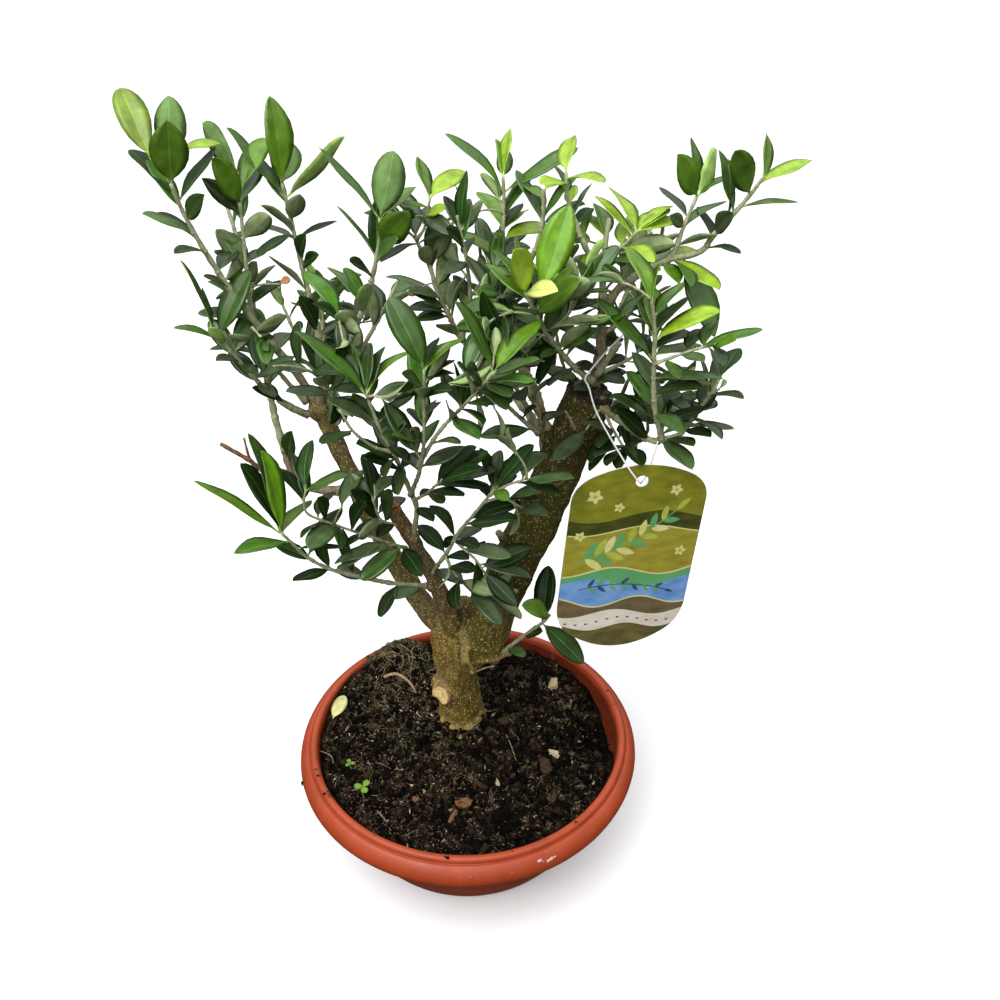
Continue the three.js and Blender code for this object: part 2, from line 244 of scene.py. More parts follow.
def build(name, verts, quads, tris, mat, mats, smooth=True, replaces=()):
    mesh = bpy.data.meshes.new(name)
    mesh.vertices.add(len(verts))
    mesh.vertices.foreach_set("co", np.asarray(verts, np.float32).ravel())
    loops = np.concatenate([np.asarray(quads).ravel(), np.asarray(tris).ravel()]).astype(np.int32)
    mesh.loops.add(len(loops))
    mesh.loops.foreach_set("vertex_index", loops)
    starts = np.concatenate([np.arange(len(quads)) * 4, len(quads) * 4 + np.arange(len(tris)) * 3]).astype(np.int32)
    mesh.polygons.add(len(starts))
    mesh.polygons.foreach_set("loop_start", starts)
    for m in mats:
        mesh.materials.append(m)
    mesh.polygons.foreach_set("material_index", np.asarray(mat, np.int32))
    mesh.update(calc_edges=True)
    mesh.validate()
    mesh.polygons.foreach_set("use_smooth", np.full(len(mesh.polygons), smooth))
    mesh.update()
    return place(bpy.data.objects.new(name, mesh), replaces)


def place(obj, replaces=()):
    if obj.name not in scene.collection.objects:
        scene.collection.objects.link(obj)
    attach(obj, "root")
    if replaces:
        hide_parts(*replaces)
    return obj


def curve(points, step=3.0):
    """A smooth line through the points, sampled about every step millimetres."""
    p = np.asarray(points, float)
    if len(p) == 2:
        p = np.array([p[0], (p[0] + p[1]) / 2, p[1]])
    ends = np.vstack([2 * p[0] - p[1], p, 2 * p[-1] - p[-2]])
    out = []
    for i in range(1, len(ends) - 2):
        a, b, c, d = ends[i - 1:i + 3]
        n = max(2, int(round(np.linalg.norm(c - b) / step)))
        t = (np.arange(n) / n)[:, None]
        out.append(0.5 * (2 * b + (c - a) * t + (2 * a - 5 * b + 4 * c - d) * t ** 2 + (3 * b - a - 3 * c + d) * t ** 3))
    out.append(p[-1:])
    return np.concatenate(out)


def lengths(line):
    return np.concatenate([[0.0], np.cumsum(np.linalg.norm(np.diff(line, axis=0), axis=1))])


def frames(line):
    """Tangent and two cross directions at each point, carried along without twist."""
    t = np.gradient(line, axis=0)
    t /= np.maximum(1e-9, np.linalg.norm(t, axis=1))[:, None]
    u = np.cross(t[0], UP if abs(t[0][2]) < 0.9 else np.array([1.0, 0, 0]))
    u = unit(u)
    us = []
    for k in range(len(line)):
        u = unit(u - t[k] * float(u @ t[k]))
        us.append(u)
    us = np.array(us)
    return t, us, np.cross(t, us)


def tube(line, radii, sides, rough=0.0, seed=0.0, tip=True):
    """A round tube along the line with closed ends; rough makes its surface uneven."""
    line = np.asarray(line, float)
    n = len(line)
    _, u, w = frames(line)
    a = np.arange(sides) * (2 * math.pi / sides)
    r = np.asarray(radii, float)[:, None] * np.ones(sides)[None, :]
    if rough:
        for i in range(n):
            for j in range(sides):
                q = line[i] + (u[i] * math.cos(a[j]) + w[i] * math.sin(a[j])) * r[i, j]
                r[i, j] *= 1 + rough * noise.noise(Vector((q[0] * 0.35 + seed, q[1] * 0.35, q[2] * 0.22)))
    ring = line[:, None, :] + (u[:, None, :] * np.cos(a)[None, :, None] + w[:, None, :] * np.sin(a)[None, :, None]) * r[:, :, None]
    verts = ring.reshape(-1, 3)
    i, j = np.meshgrid(np.arange(n - 1), np.arange(sides), indexing="ij")
    k = (j + 1) % sides
    quads = np.stack([i * sides + j, i * sides + k, (i + 1) * sides + k, (i + 1) * sides + j], -1).reshape(-1, 4)
    bulge = r[-1].mean() * 0.7 if tip else 0.0
    t_end = unit(line[-1] - line[-2])
    verts = np.vstack([verts, line[0], line[-1] + t_end * bulge])
    c0, c1 = n * sides, n * sides + 1
    j = np.arange(sides)
    k = (j + 1) % sides
    tris = np.vstack([np.stack([np.full(sides, c0), k, j], -1), np.stack([np.full(sides, c1), (n - 1) * sides + j, (n - 1) * sides + k], -1)])
    return verts, quads, tris


def taper(line, r0, r1, collar=0.0, power=1.0):
    """Radii from r0 to r1 along the line, swollen at its foot by collar."""
    s = lengths(line)
    f = (s / max(1e-6, s[-1])) ** power
    return r0 + (r1 - r0) * f + collar * r0 * np.exp(-s / (2.2 * r0))


# ------------------------------------------------------------------ camera, light, floor

cam = bpy.data.cameras.new("camera")
cam.lens, cam.sensor_width = 36.0, 36.0
cam.clip_start, cam.clip_end = 0.01, 60.0
cam_obj = bpy.data.objects.new("camera", cam)
cam_obj.location = CAM * MM
cam_obj.rotation_euler = (math.radians(CAM_TILT), 0.0, 0.0)
scene.collection.objects.link(cam_obj)
scene.camera = cam_obj
scene.view_settings.view_transform = "Standard"

world = bpy.data.worlds.new("studio")
world.use_nodes = True
scene.world = world
wt = world.node_tree
sky_dir = wt.nodes.new("ShaderNodeTexCoord").outputs["Generated"]
split = wt.nodes.new("ShaderNodeSeparateXYZ")
wt.links.new(sky_dir, split.inputs[0])
sky = wt.nodes.new("ShaderNodeValToRGB")
# Brightness by height above the horizon: a wide soft light overhead, dimmer to the sides.
SKY = [(0.0, 0.06), (0.05, 0.22), (0.35, 0.56), (0.70, 1.02), (1.0, 1.7)]
for pos, val in SKY[1:-1]:
    sky.color_ramp.elements.new(pos)
for item, (pos, val) in zip(sky.color_ramp.elements, SKY):
    item.position = pos
    item.color = (val, val, val, 1.0)
wt.links.new(split.outputs["Z"], sky.inputs["Fac"])
wt.links.new(sky.outputs["Color"], wt.nodes["Background"].inputs["Color"])
wt.nodes["Background"].inputs["Strength"].default_value = 1.1


def area_light(name, where, look, size, power):
    lamp = bpy.data.lights.new(name, "AREA")
    lamp.shape = "DISK"
    lamp.size = size
    lamp.energy = power
    o = bpy.data.objects.new(name, lamp)
    o.location = where
    o.rotation_euler = (Vector(look) - Vector(where)).to_track_quat("-Z", "Y").to_euler()
    scene.collection.objects.link(o)


area_light("key", (-0.75, -0.65, 1.75), (0.0, 0.0, 0.25), 1.4, 19.0)
area_light("fill", (-0.28, -1.45, 1.30), (0.0, 0.0, 0.25), 1.5, 14.0)

floor_finish = Finish("floor_pale", 0.9, 0.2)
floor_finish.base(floor_finish.ramp(floor_finish.noise(3.0), [(0.4, (0.92, 0.92, 0.92)), (0.6, (0.94, 0.94, 0.94))]))
ring = np.array([[math.cos(a), math.sin(a), 0.0] for a in np.arange(96) * math.pi / 48]) * 14.0
mesh = bpy.data.meshes.new("floor")
mesh.from_pydata([tuple(p) for p in ring], [], [tuple(range(96))])
mesh.materials.append(floor_finish.mat)
floor = bpy.data.objects.new("floor", mesh)
floor.location = (0, 0, -0.0004)
# The floor throws no light back up, so the undersides stay dark.
floor.visible_diffuse = False
floor.visible_glossy = False
scene.collection.objects.link(floor)


# ------------------------------------------------------------------ bowl

POT_SIDES = 224

# Half sections with finer steps than the solid: foot, wall, tucked band, groove, rolled lip, inner wall.
POT_FINE = [(0, 0.4), (58, 0.4), (64, 0.4), (66, 0), (71.5, 0), (73, 0.3), (74.2, 1.4), (76.2, 3.8), (79.0, 8.6), (81.8, 14.4), (84.5, 20), (87.4, 26.5), (90.4, 33.5), (93, 40),
            (95.6, 47.5), (97.6, 54), (99.4, 58.8), (100.6, 61.6), (101.6, 63.0), (102.9, 63.5), (104.2, 63.3), (104.9, 62.4), (105.3, 60.6), (105.8, 59.1), (106.6, 58.3), (107.6, 58),
            (108.6, 58.3), (109.3, 59.3), (109.8, 60.8), (110, 62.4), (109.8, 64.2), (109.3, 66), (108.3, 67.9), (107, 69.6), (105.6, 70.9), (104.6, 71.5), (103.9, 71.6),
            (103.4, 71.3), (103.15, 71.2), (103, 71.7), (103.05, 72.6), (102.8, 73.6), (102.2, 74.4), (101.4, 74.9), (100.6, 75), (99.7, 74.9), (98.9, 74.4), (98.3, 73.6), (97.9, 72.6),
            (97.6, 70.5), (97, 66), (96.1, 58), (93.6, 50), (90.2, 42), (86.6, 33), (82.4, 24), (77.4, 14.6), (72, 6.4), (68, 3.2), (40, 3.2), (0, 3.2)]


def lathe(profile, sides, wave=None):
    prof = np.asarray(profile, float)
    a = np.arange(sides) * (2 * math.pi / sides)
    inner = prof[1:-1]
    r = inner[:, 0][:, None] * np.ones(sides)[None, :]
    z = inner[:, 1][:, None] * np.ones(sides)[None, :]
    if wave is not None:
        dr, dz = wave(inner, a)
        r, z = r + dr, z + dz
    verts = np.stack([r * np.cos(a), r * np.sin(a), z], -1).reshape(-1, 3)
    n = len(inner)
    i, j = np.meshgrid(np.arange(n - 1), np.arange(sides), indexing="ij")
    k = (j + 1) % sides
    quads = np.stack([i * sides + j, i * sides + k, (i + 1) * sides + k, (i + 1) * sides + j], -1).reshape(-1, 4)
    verts = np.vstack([verts, [0, 0, prof[0, 1]], [0, 0, prof[-1, 1]]])
    j = np.arange(sides)
    k = (j + 1) % sides
    tris = np.vstack([np.stack([np.full(sides, n * sides), k, j], -1), np.stack([np.full(sides, n * sides + 1), (n - 1) * sides + j, (n - 1) * sides + k], -1)])
    return verts, quads, tris


def pot_wave(prof, a):
    """Slight unevenness of a thin moulded bowl: the rim is not quite round or level."""
    up = np.clip((prof[:, 1] - 20) / 50, 0, 1)[:, None]
    dr = up * (0.35 * np.sin(2 * a + 0.6) + 0.18 * np.sin(5 * a + 1.9))[None, :]
    dz = up * (0.25 * np.sin(3 * a + 0.2))[None, :]
    return dr, dz


def pot_finish(name, low, mean, high):
    f = Finish(name, 0.42, 0.42)
    cloud = f.noise(38.0, 4.0, 0.6)
    fine = f.noise(900.0, 3.0, 0.6)
    tone = f.ramp(cloud, [(0.28, srgb(*low)), (0.5, srgb(*mean)), (0.75, srgb(*high))])
    # Dust and dried water marks in streaks down the wall and on the lip.
    streak = f.noise(16.0, 5.0, 0.7, vec=f.stretch((6.0, 6.0, 0.9)))
    dust = f.grey(streak, 0.60, 0.82, 0.0, 0.34)
    tone = f.mix(dust, tone, srgb(206, 142, 116))
    grit = f.grey(f.cells(260.0), 0.05, 0.13, 0.5, 0.0)
    patchy = f.grey(f.noise(22.0, 2.0), 0.52, 0.66)
    grit = f.math("MULTIPLY", grit, patchy)
    tone = f.mix(grit, tone, srgb(120, 52, 34))
    f.base(tone)
    f.rough(f.grey(f.noise(60.0, 4.0, 0.65), 0.3, 0.75, 0.34, 0.56))
    f.normal(f.bump(f.math("ADD", f.math("MULTIPLY", fine, 0.4), f.noise(120.0, 2.0)), 0.10, 0.0006))
    return f.mat


pot = Pile()
verts, quads, tris = lathe(POT_FINE, POT_SIDES, pot_wave)
# The inside of the wall, below the lip, takes a darker finish: painted shade.
painted_shade_faces = (np.arange(len(quads)) // POT_SIDES >= POT_FINE.index((97.6, 70.5)) - 1).astype(int)
pot.add(verts, quads, tris, qmat=painted_shade_faces)
pot_mat = pot_finish("pot_plastic", (146, 56, 25), (159, 63, 30), (172, 72, 38))
# Painted shade: a darker copy of the bowl's finish for the inside of the wall.
pot_inside_painted_shade = pot_finish("pot_inside_painted_shade", (96, 35, 14), (108, 41, 18), (120, 48, 23))
paint_mat = Finish("pot_paint_fleck", 0.6, 0.3)
paint_mat.base(paint_mat.ramp(paint_mat.noise(700.0), [(0.3, srgb(206, 140, 116)), (0.7, srgb(232, 190, 172))]))
pot.make("pot_bowl", [pot_mat, pot_inside_painted_shade], True, "pot", ("pot",))


def fleck(pile, centre, normal, size, rng, mat=0, thick=0.12, lobes=9):
    """A thin uneven fleck lying on a surface."""
    n = unit(normal)
    u = unit(np.cross(n, UP if abs(n[2]) < 0.9 else np.array([1.0, 0, 0])))
    w = np.cross(n, u)
    a = np.arange(lobes) * 2 * math.pi / lobes
    r = size * rng.uniform(0.55, 1.1, lobes)
    rim = centre + (u[None] * (r * np.cos(a))[:, None] + w[None] * (r * np.sin(a) * 0.6)[:, None])
    top = centre + n * thick
    low = centre - n * 0.3
    verts = np.vstack([rim, top, low])
    k = np.arange(lobes)
    m = (k + 1) % lobes
    pile.add(verts, None, np.vstack([np.stack([k, m, np.full(lobes, lobes)], -1), np.stack([m, k, np.full(lobes, lobes + 1)], -1)]), mat)


def pot_band(u, v):
    """The point of the bowl's band seen at (u, v), and the outward normal there."""
    d = ray(u, v)
    best = None
    prof = np.array(POT_FINE[24:37])
    for k in range(len(prof) - 1):
        for s in np.linspace(0, 1, 12):
            r, z = prof[k] * (1 - s) + prof[k + 1] * s
            t = (z - CAM[2]) / d[2]
            p = CAM + d * t
            e = abs(math.hypot(p[0], p[1]) - r)
            if p[1] < 0 and (best is None or e < best[0]):
                side = prof[k + 1] - prof[k]
                nr, nz = side[1], -side[0]
                h = math.hypot(p[0], p[1])
                best = (e, p, unit([nr * p[0] / h, nr * p[1] / h, nz]))
    return best[1], best[2]


flecks = Pile()
rng = dice("flecks")
for u, v, size in [(540, 861, 2.3), (542.5, 862, 1.3), (549, 861, 2.0), (552, 859, 2.4), (555, 857, 1.5), (390, 855, 0.5), (414, 857, 0.45), (470, 877, 0.4), (512, 873, 0.4)]:
    p, n = pot_band(u, v)
    fleck(flecks, p, n, size, rng, lobes=11)
flecks.make("pot_flecks", [paint_mat.mat], True, "pot")


# ------------------------------------------------------------------ soil

TRUNK_X, TRUNK_Y, TRUNK_FOOT = -5.0, 18.0, 72.0


def soil_top(x, y):
    z = (65.5 + 6 * np.exp(-((x + 5) ** 2 + (y - 18) ** 2) / 52 ** 2) + 15.0 * np.exp(-((x + 52) / 24) ** 2 - ((y - 73) / 19) ** 2) * np.clip((97.2 - np.hypot(x, y)) / 3.6, 0, 1) + 4.5 * np.exp(-((x + 82) ** 2 + (y - 50) ** 2) / 26 ** 2) + 6.0 * np.exp(-((x + 84) ** 2 + (y - 30) ** 2) / 44 ** 2)
         - 11 * np.exp(-((x - 92) ** 2 + (y - 14) ** 2) / 30 ** 2) + 0.9 * np.sin(0.16 * x + 1.3) * np.sin(0.19 * y) + 0.6 * np.sin(0.31 * x - 0.23 * y))
    d = np.hypot(x - TRUNK_X, y - TRUNK_Y)
    f = np.clip((d - 23) / 12, 0, 1)
    f = f * f * (3 - 2 * f)
    return 71.6 + (z - 71.6) * f


def crumble(x, y):
    """Crumbly unevenness on top of the even soil surface: clods, lumps and grains."""
    p = Vector((x, y, 3.1))
    clod = abs(noise.noise(p * 0.075))
    lump = abs(noise.noise(p * 0.17 + Vector((4.0, 9.0, 1.0))))
    small = abs(noise.noise(p * 0.37 + Vector((2.0, 5.0, 7.0))))
    pit = math.exp(-((x - 86) ** 2 + (y - 4) ** 2) / 11.0 ** 2)
    return 5.2 * clod + 5.0 * lump + 2.6 * small - 3.4 + 0.8 * noise.noise(p * 0.8) - 8.0 * pit


def bumps(x, y):
    flat = [crumble(a, b) for a, b in zip(np.ravel(x), np.ravel(y))]
    return np.array(flat).reshape(np.shape(x))


SOIL_RADIUS = 96.4
WALL_Z, WALL_R = (24.0, 42.0, 58.0, 66.0), (82.4, 90.2, 96.1, 97.0)
rings_n, segs_n = 108, 280
rad = SOIL_RADIUS * (np.arange(1, rings_n + 1) / rings_n) ** 0.8
ang = np.arange(segs_n) * 2 * math.pi / segs_n
gx, gy = rad[:, None] * np.cos(ang), rad[:, None] * np.sin(ang)
rise = bumps(gx, gy)
edge = np.clip((SOIL_RADIUS - rad) / 6.0, 0, 1)[:, None]
gz = soil_top(gx, gy) - 0.6 + rise * (0.35 + 0.65 * edge)
wall = np.interp(gz, WALL_Z, WALL_R)
limit = np.minimum(1.0, (wall - 0.5) / np.maximum(1e-6, rad[:, None]))
gx, gy = gx * limit, gy * limit
top = np.stack([gx, gy, gz], -1).reshape(-1, 3)
low = np.stack([gx[-1] * 0.96, gy[-1] * 0.96, np.full(segs_n, 46.0)], -1)
verts = np.vstack([[0, 0, float(soil_top(0.0, 0.0)) - 0.6], top, low, [0, 0, 46.0]])
i, j = np.meshgrid(np.arange(rings_n - 1), np.arange(segs_n), indexing="ij")
k = (j + 1) % segs_n
quads = 1 + np.stack([i * segs_n + j, (i + 1) * segs_n + j, (i + 1) * segs_n + k, i * segs_n + k], -1).reshape(-1, 4)
j = np.arange(segs_n)
k = (j + 1) % segs_n
last, lowest = 1 + (rings_n - 1) * segs_n, 1 + rings_n * segs_n
quads = np.vstack([quads, np.stack([last + j, lowest + j, lowest + k, last + k], -1)])
tris = np.vstack([np.stack([np.zeros(segs_n, int), 1 + j, 1 + k], -1), np.stack([np.full(segs_n, len(verts) - 1), lowest + k, lowest + j], -1)])


def soil_finish(name, dark, mid, pale, grain=300.0):
    f = Finish(name, 0.95, 0.06)
    n = f.noise(grain, 6.0, 0.72)
    big = f.noise(45.0, 3.0, 0.6)
    tone = f.ramp(n, [(0.30, srgb(*dark)), (0.52, srgb(*mid)), (0.72, srgb(*pale))])
    tone = f.mix(f.grey(big, 0.35, 0.7, 0.0, 0.55), tone, srgb(*shade(mid, 0.62)), "MIX")
    f.base(tone)
    lumps = f.math("ADD", f.math("MULTIPLY", n, 0.7), f.noise(1100.0, 4.0, 0.7))
    f.normal(f.bump(lumps, 0.75, 0.0012))
    return f.mat


soil_mats = [soil_finish("soil_dark", (3, 2, 1), (15, 11, 7), (54, 43, 32)),
             soil_finish("soil_brown", (18, 13, 8), (58, 46, 34), (120, 102, 80)),
             soil_finish("soil_grey", (52, 46, 35), (106, 95, 76), (160, 147, 124)),
             soil_finish("soil_black", (2, 1, 1), (8, 6, 4), (26, 20, 14))]
soil = Pile()
soil.add(verts, quads, tris, 0)


def bed_finish():
    """Painted shade: black in the creases between clods; painted light: brown and grey on top of them."""
    f = Finish("soil_bed", 0.95, 0.06)
    n = f.noise(300.0, 6.0, 0.72)
    low = f.ramp(n, [(0.32, srgb(2, 1, 1)), (0.55, srgb(11, 8, 5)), (0.75, srgb(42, 34, 25))])
    high = f.ramp(n, [(0.30, srgb(13, 9, 6)), (0.52, srgb(42, 31, 22)), (0.72, srgb(104, 88, 70))])
    f.base(f.mix(f.tint("soil_painted_light"), low, high))
    lumps = f.math("ADD", f.math("MULTIPLY", n, 0.7), f.noise(1100.0, 4.0, 0.7))
    f.normal(f.bump(lumps, 0.75, 0.0012))
    return f.mat


def on_top(h):
    """From 0 in a crease to 1 on top of a clod."""
    return np.clip((np.asarray(h) + 1.6) / 4.6, 0, 1)


bed = soil.make("soil_bed", [bed_finish()], True, "soil", ("soil",))
# Painted light and shade by height: 1 on clod tops, 0 in the creases.
painted_light_levels = np.zeros(len(verts))
painted_light_levels[1:1 + rings_n * segs_n] = on_top(rise).ravel()
layer = bed.data.color_attributes.new("soil_painted_light", "FLOAT_COLOR", "POINT")
layer.data.foreach_set("color", np.hstack([np.repeat(painted_light_levels[:, None], 3, 1), np.ones((len(verts), 1))]).astype(np.float32).ravel())

PHI = (1 + 5 ** 0.5) / 2
ICO_V = np.array([[-1, PHI, 0], [1, PHI, 0], [-1, -PHI, 0], [1, -PHI, 0], [0, -1, PHI], [0, 1, PHI], [0, -1, -PHI], [0, 1, -PHI],
                  [PHI, 0, -1], [PHI, 0, 1], [-PHI, 0, -1], [-PHI, 0, 1]]) / math.hypot(1, PHI)
ICO_F = np.array([[0, 11, 5], [0, 5, 1], [0, 1, 7], [0, 7, 10], [0, 10, 11], [1, 5, 9], [5, 11, 4], [11, 10, 2], [10, 7, 6], [7, 1, 8],
                  [3, 9, 4], [3, 4, 2], [3, 2, 6], [3, 6, 8], [3, 8, 9], [4, 9, 5], [2, 4, 11], [6, 2, 10], [8, 6, 7], [9, 8, 1]])


def refine(v, f):
    v, f, mids, out = [tuple(p) for p in v], [tuple(t) for t in f], {}, []

    def mid(a, b):
        key = (min(a, b), max(a, b))
        if key not in mids:
            mids[key] = len(v)
            v.append(tuple(unit(np.array(v[a]) + np.array(v[b]))))
        return mids[key]

    for a, b, c in f:
        ab, bc, ca = mid(a, b), mid(b, c), mid(c, a)
        out += [(a, ab, ca), (ab, b, bc), (ca, bc, c), (ab, bc, ca)]
    return np.array(v), np.array(out)


ICO2_V, ICO2_F = refine(ICO_V, ICO_F)
OCT_V = np.array([[1, 0, 0], [0, 1, 0], [-1, 0, 0], [0, -1, 0], [0, 0, 1], [0, 0, -1]], float)
OCT_F = np.array([[0, 1, 4], [1, 2, 4], [2, 3, 4], [3, 0, 4], [1, 0, 5], [2, 1, 5], [3, 2, 5], [0, 3, 5]])


def ground(x, y):
    """Height of the finished soil surface."""
    e = min(1.0, max(0.0, (SOIL_RADIUS - math.hypot(x, y)) / 6.0))
    return float(soil_top(x, y)) - 0.6 + crumble(x, y) * (0.35 + 0.65 * e)


def spot(rng, limit=93.0):
    while True:
        r, a = limit * math.sqrt(rng.uniform()), rng.uniform(0, 2 * math.pi)
        x, y = r * math.cos(a), r * math.sin(a)
        if math.hypot(x - TRUNK_X, y - TRUNK_Y) > 14.5:
            return x, y


def turned(rng):
    q = rng.normal(size=4)
    q /= np.linalg.norm(q)
    w, x, y, z = q
    return np.array([[1 - 2 * (y * y + z * z), 2 * (x * y - z * w), 2 * (x * z + y * w)],
                     [2 * (x * y + z * w), 1 - 2 * (x * x + z * z), 2 * (y * z - x * w)],
                     [2 * (x * z - y * w), 2 * (y * z + x * w), 1 - 2 * (x * x + y * y)]])


def crumb(pile, where, size, flat, rng, mat, fine=False):
    base, faces = (ICO_V, ICO_F) if fine else (OCT_V, OCT_F)
    v = base * rng.uniform(0.55, 1.3, (len(base), 1)) * size * np.array([1.0, rng.uniform(0.55, 1.0), flat])
    pile.add(v @ turned(rng).T + where, None, faces, mat)


# Clods: lumps of several millimetres, half sunk, with uneven faces.
clods = Pile()
rng = dice("clods")
for k in range(420):
    x, y = spot(rng, 89.0)
    size = min(5.2, 2.0 * math.exp(rng.normal(0.12, 0.34)))
    if math.hypot(x - 86, y - 4) < 9 or math.hypot(x - TRUNK_X, y - TRUNK_Y) < 17 + size or math.hypot(x, y) + size > np.interp(ground(x, y), WALL_Z, WALL_R):
        continue
    shift = Vector(rng.uniform(-50, 50, 3))
    swell = np.array([1.0 + 0.75 * noise.noise(Vector(p) * 1.3 + shift) + 0.35 * noise.noise(Vector(p) * 3.1 + shift) for p in ICO2_V])[:, None]
    v = ICO2_V * swell * size * np.array([1.0, rng.uniform(0.6, 1.0), rng.uniform(0.55, 0.85)])
    clods.add(v @ turned(rng).T + np.array([x, y, ground(x, y) + size * rng.uniform(-0.30, 0.12)]), None, ICO2_F, int(rng.choice([0, 1, 3], p=[0.48, 0.14, 0.38])))
clods.make("soil_clods", soil_mats, False, "soil")

crumbs = Pile()
rng = dice("crumbs")
for k in range(6200):
    x, y = spot(rng, 94.0)
    size = min(3.6, 0.52 * math.exp(rng.normal(0.5, 0.62)))
    if math.hypot(x, y) > min(94.5, np.interp(ground(x, y), WALL_Z, WALL_R) - 0.5) - size or math.hypot(x - 86, y - 4) < 7:
        continue
    left = 1.0 / (1.0 + math.exp((x + 30) / 14))
    # Black crumbs fall more in the creases and brown and grey ones on clod tops: painted shade and painted light.
    top = float(on_top(crumble(x, y)))
    mat = int(rng.choice([0, 1, 2, 3], p=[0.30, 0.05 + 0.20 * top + 0.18 * left, 0.02 + 0.17 * left + 0.07 * top, 0.63 - 0.27 * top - 0.35 * left]))
    if mat == 2 and size > 1.3:
        mat = 0
    crumb(crumbs, np.array([x, y, ground(x, y) + size * rng.uniform(-0.25, 0.40)]), size, rng.uniform(0.45, 1.0), rng, mat, size > 1.3)
crumbs.make("soil_crumbs", soil_mats, False, "soil")


# Litter: wood chips, dry roots, moss, a fallen leaf, a curved twig and seedlings.
def dry_finish(name, a, b, rough=0.85, scale=(900.0, 900.0, 300.0)):
    f = Finish(name, rough, 0.10)
    n = f.noise(1.0, 4.0, 0.6, vec=f.stretch(scale))
    f.base(f.ramp(n, [(0.3, srgb(*a)), (0.7, srgb(*b))]))
    f.normal(f.bump(n, 0.5, 0.0006))
    return f.mat


chip_mats = [dry_finish("chip_beige", (150, 130, 100), (196, 178, 148)), dry_finish("chip_tan", (84, 56, 36), (138, 100, 66)),
             dry_finish("chip_brown", (34, 25, 18), (74, 57, 43)), dry_finish("root_dry", (106, 94, 72), (168, 156, 128)), dry_finish("twig_fallen", (122, 98, 76), (178, 152, 126))]
litter = Pile()
rng = dice("litter")


chips = Pile()


def chip(x, y, long, wide, thick, mat, angle=None):
    """A flat broken splinter: an uneven outline, a bent upper face and ragged ends."""
    a = rng.uniform(0, 2 * math.pi) if angle is None else angle
    n = 11
    t = (np.arange(n) + rng.uniform(-0.3, 0.3, n)) * 2 * math.pi / n
    r = rng.uniform(0.72, 1.08, n)
    cx, sx = np.sign(np.cos(t)) * np.abs(np.cos(t)) ** 0.7, np.sign(np.sin(t)) * np.abs(np.sin(t)) ** 0.8
    bow = rng.normal(0, 0.5) * thick
    rim = np.stack([r * cx * long / 2, r * sx * wide / 2, thick * rng.uniform(-0.1, 0.35, n) + bow * cx ** 2], -1)
    low = rim * np.array([0.86, 0.80, 1.0]) - np.array([0, 0, thick * 0.8])
    inner = rim * np.array([0.5, 0.45, 1.0]) + np.stack([np.zeros(n), np.zeros(n), thick * rng.uniform(0.1, 0.45, n)], -1)
    v = np.vstack([rim, low, inner, inner.mean(0), low.mean(0)])
    k = np.arange(n)
    m = (k + 1) % n
    quads = np.vstack([np.stack([n + k, n + m, m, k], -1), np.stack([k, m, 2 * n + m, 2 * n + k], -1)])
    tris = np.vstack([np.stack([2 * n + k, 2 * n + m, np.full(n, 3 * n)], -1), np.stack([n + m, n + k, np.full(n, 3 * n + 1)], -1)])
    tip, roll = rng.normal(0, 0.22), rng.normal(0, 0.3)
    rot = np.array([[math.cos(a), -math.sin(a), 0], [math.sin(a), math.cos(a), 0], [0, 0, 1]])
    v = v @ np.array([[math.cos(tip), 0, math.sin(tip)], [0, 1, 0], [-math.sin(tip), 0, math.cos(tip)]]).T
    v = v @ np.array([[1, 0, 0], [0, math.cos(roll), -math.sin(roll)], [0, math.sin(roll), math.cos(roll)]]).T
    chips.add(v @ rot.T + np.array([x, y, ground(x, y) + thick * 0.55]), quads, tris, mat)


def on_soil(u, v):
    """The point of the soil seen at (u, v)."""
    z = 70.0
    d = ray(u, v)
    for _ in range(8):
        p = CAM + d * ((z - CAM[2]) / d[2])
        z = ground(p[0], p[1])
    return p


for u, v, long, wide, thick, mat, a in [(553, 688, 11, 6.5, 4, 0, 1.3), (464, 806, 10.5, 5.6, 5, 1, 0.1), (453, 818, 10, 4, 3, 1, 1.1), (555, 754, 9, 4.5, 3, 0, 2.6), (480, 741, 4, 2.4, 1.6, 1, 1.0),
                                        (444, 726, 8, 3.6, 1.6, 1, 2.9), (504, 722, 11, 6, 3, 2, 0.4), (545, 768, 12, 8, 4, 2, 1.9), (552, 800, 9, 7, 3.5, 2, 0.8), (497, 783, 8, 2.6, 1.6, 0, 1.9),
                                        (476, 784, 5, 4, 2, 2, 0.4), (416, 800, 6, 5, 3, 1, 0.7)]:
    p = on_soil(u, v)
    chip(p[0], p[1], long, wide, thick, mat, a)
for k in range(150):
    x, y = spot(rng, 90.0)
    long = rng.uniform(1.6, 5.5)
    chip(x, y, long, long * rng.uniform(0.2, 0.55), long * rng.uniform(0.10, 0.22), int(rng.choice([0, 1, 2, 3], p=[0.03, 0.12, 0.70, 0.15])))
chips.make("soil_chips", chip_mats, False, "soil")


def crawl(x, y, length, r, mat, pile, lift=0.5, step=3.0, wind=0.5):
    """A thread lying over the soil, wandering as it goes."""
    a = rng.uniform(0, 2 * math.pi)
    pts = []
    for k in range(max(3, int(length / step))):
        if math.hypot(x, y) > 93.5:
            break
        pts.append((x, y, ground(x, y) + lift + rng.uniform(-0.5, 0.9)))
        a += rng.normal(0, wind)
        x, y = x + step * math.cos(a), y + step * math.sin(a)
    if len(pts) >= 3:
        line = curve(pts, 1.5)
        pile.add(*tube(line, taper(line, r, r * 0.5), 5), mat)


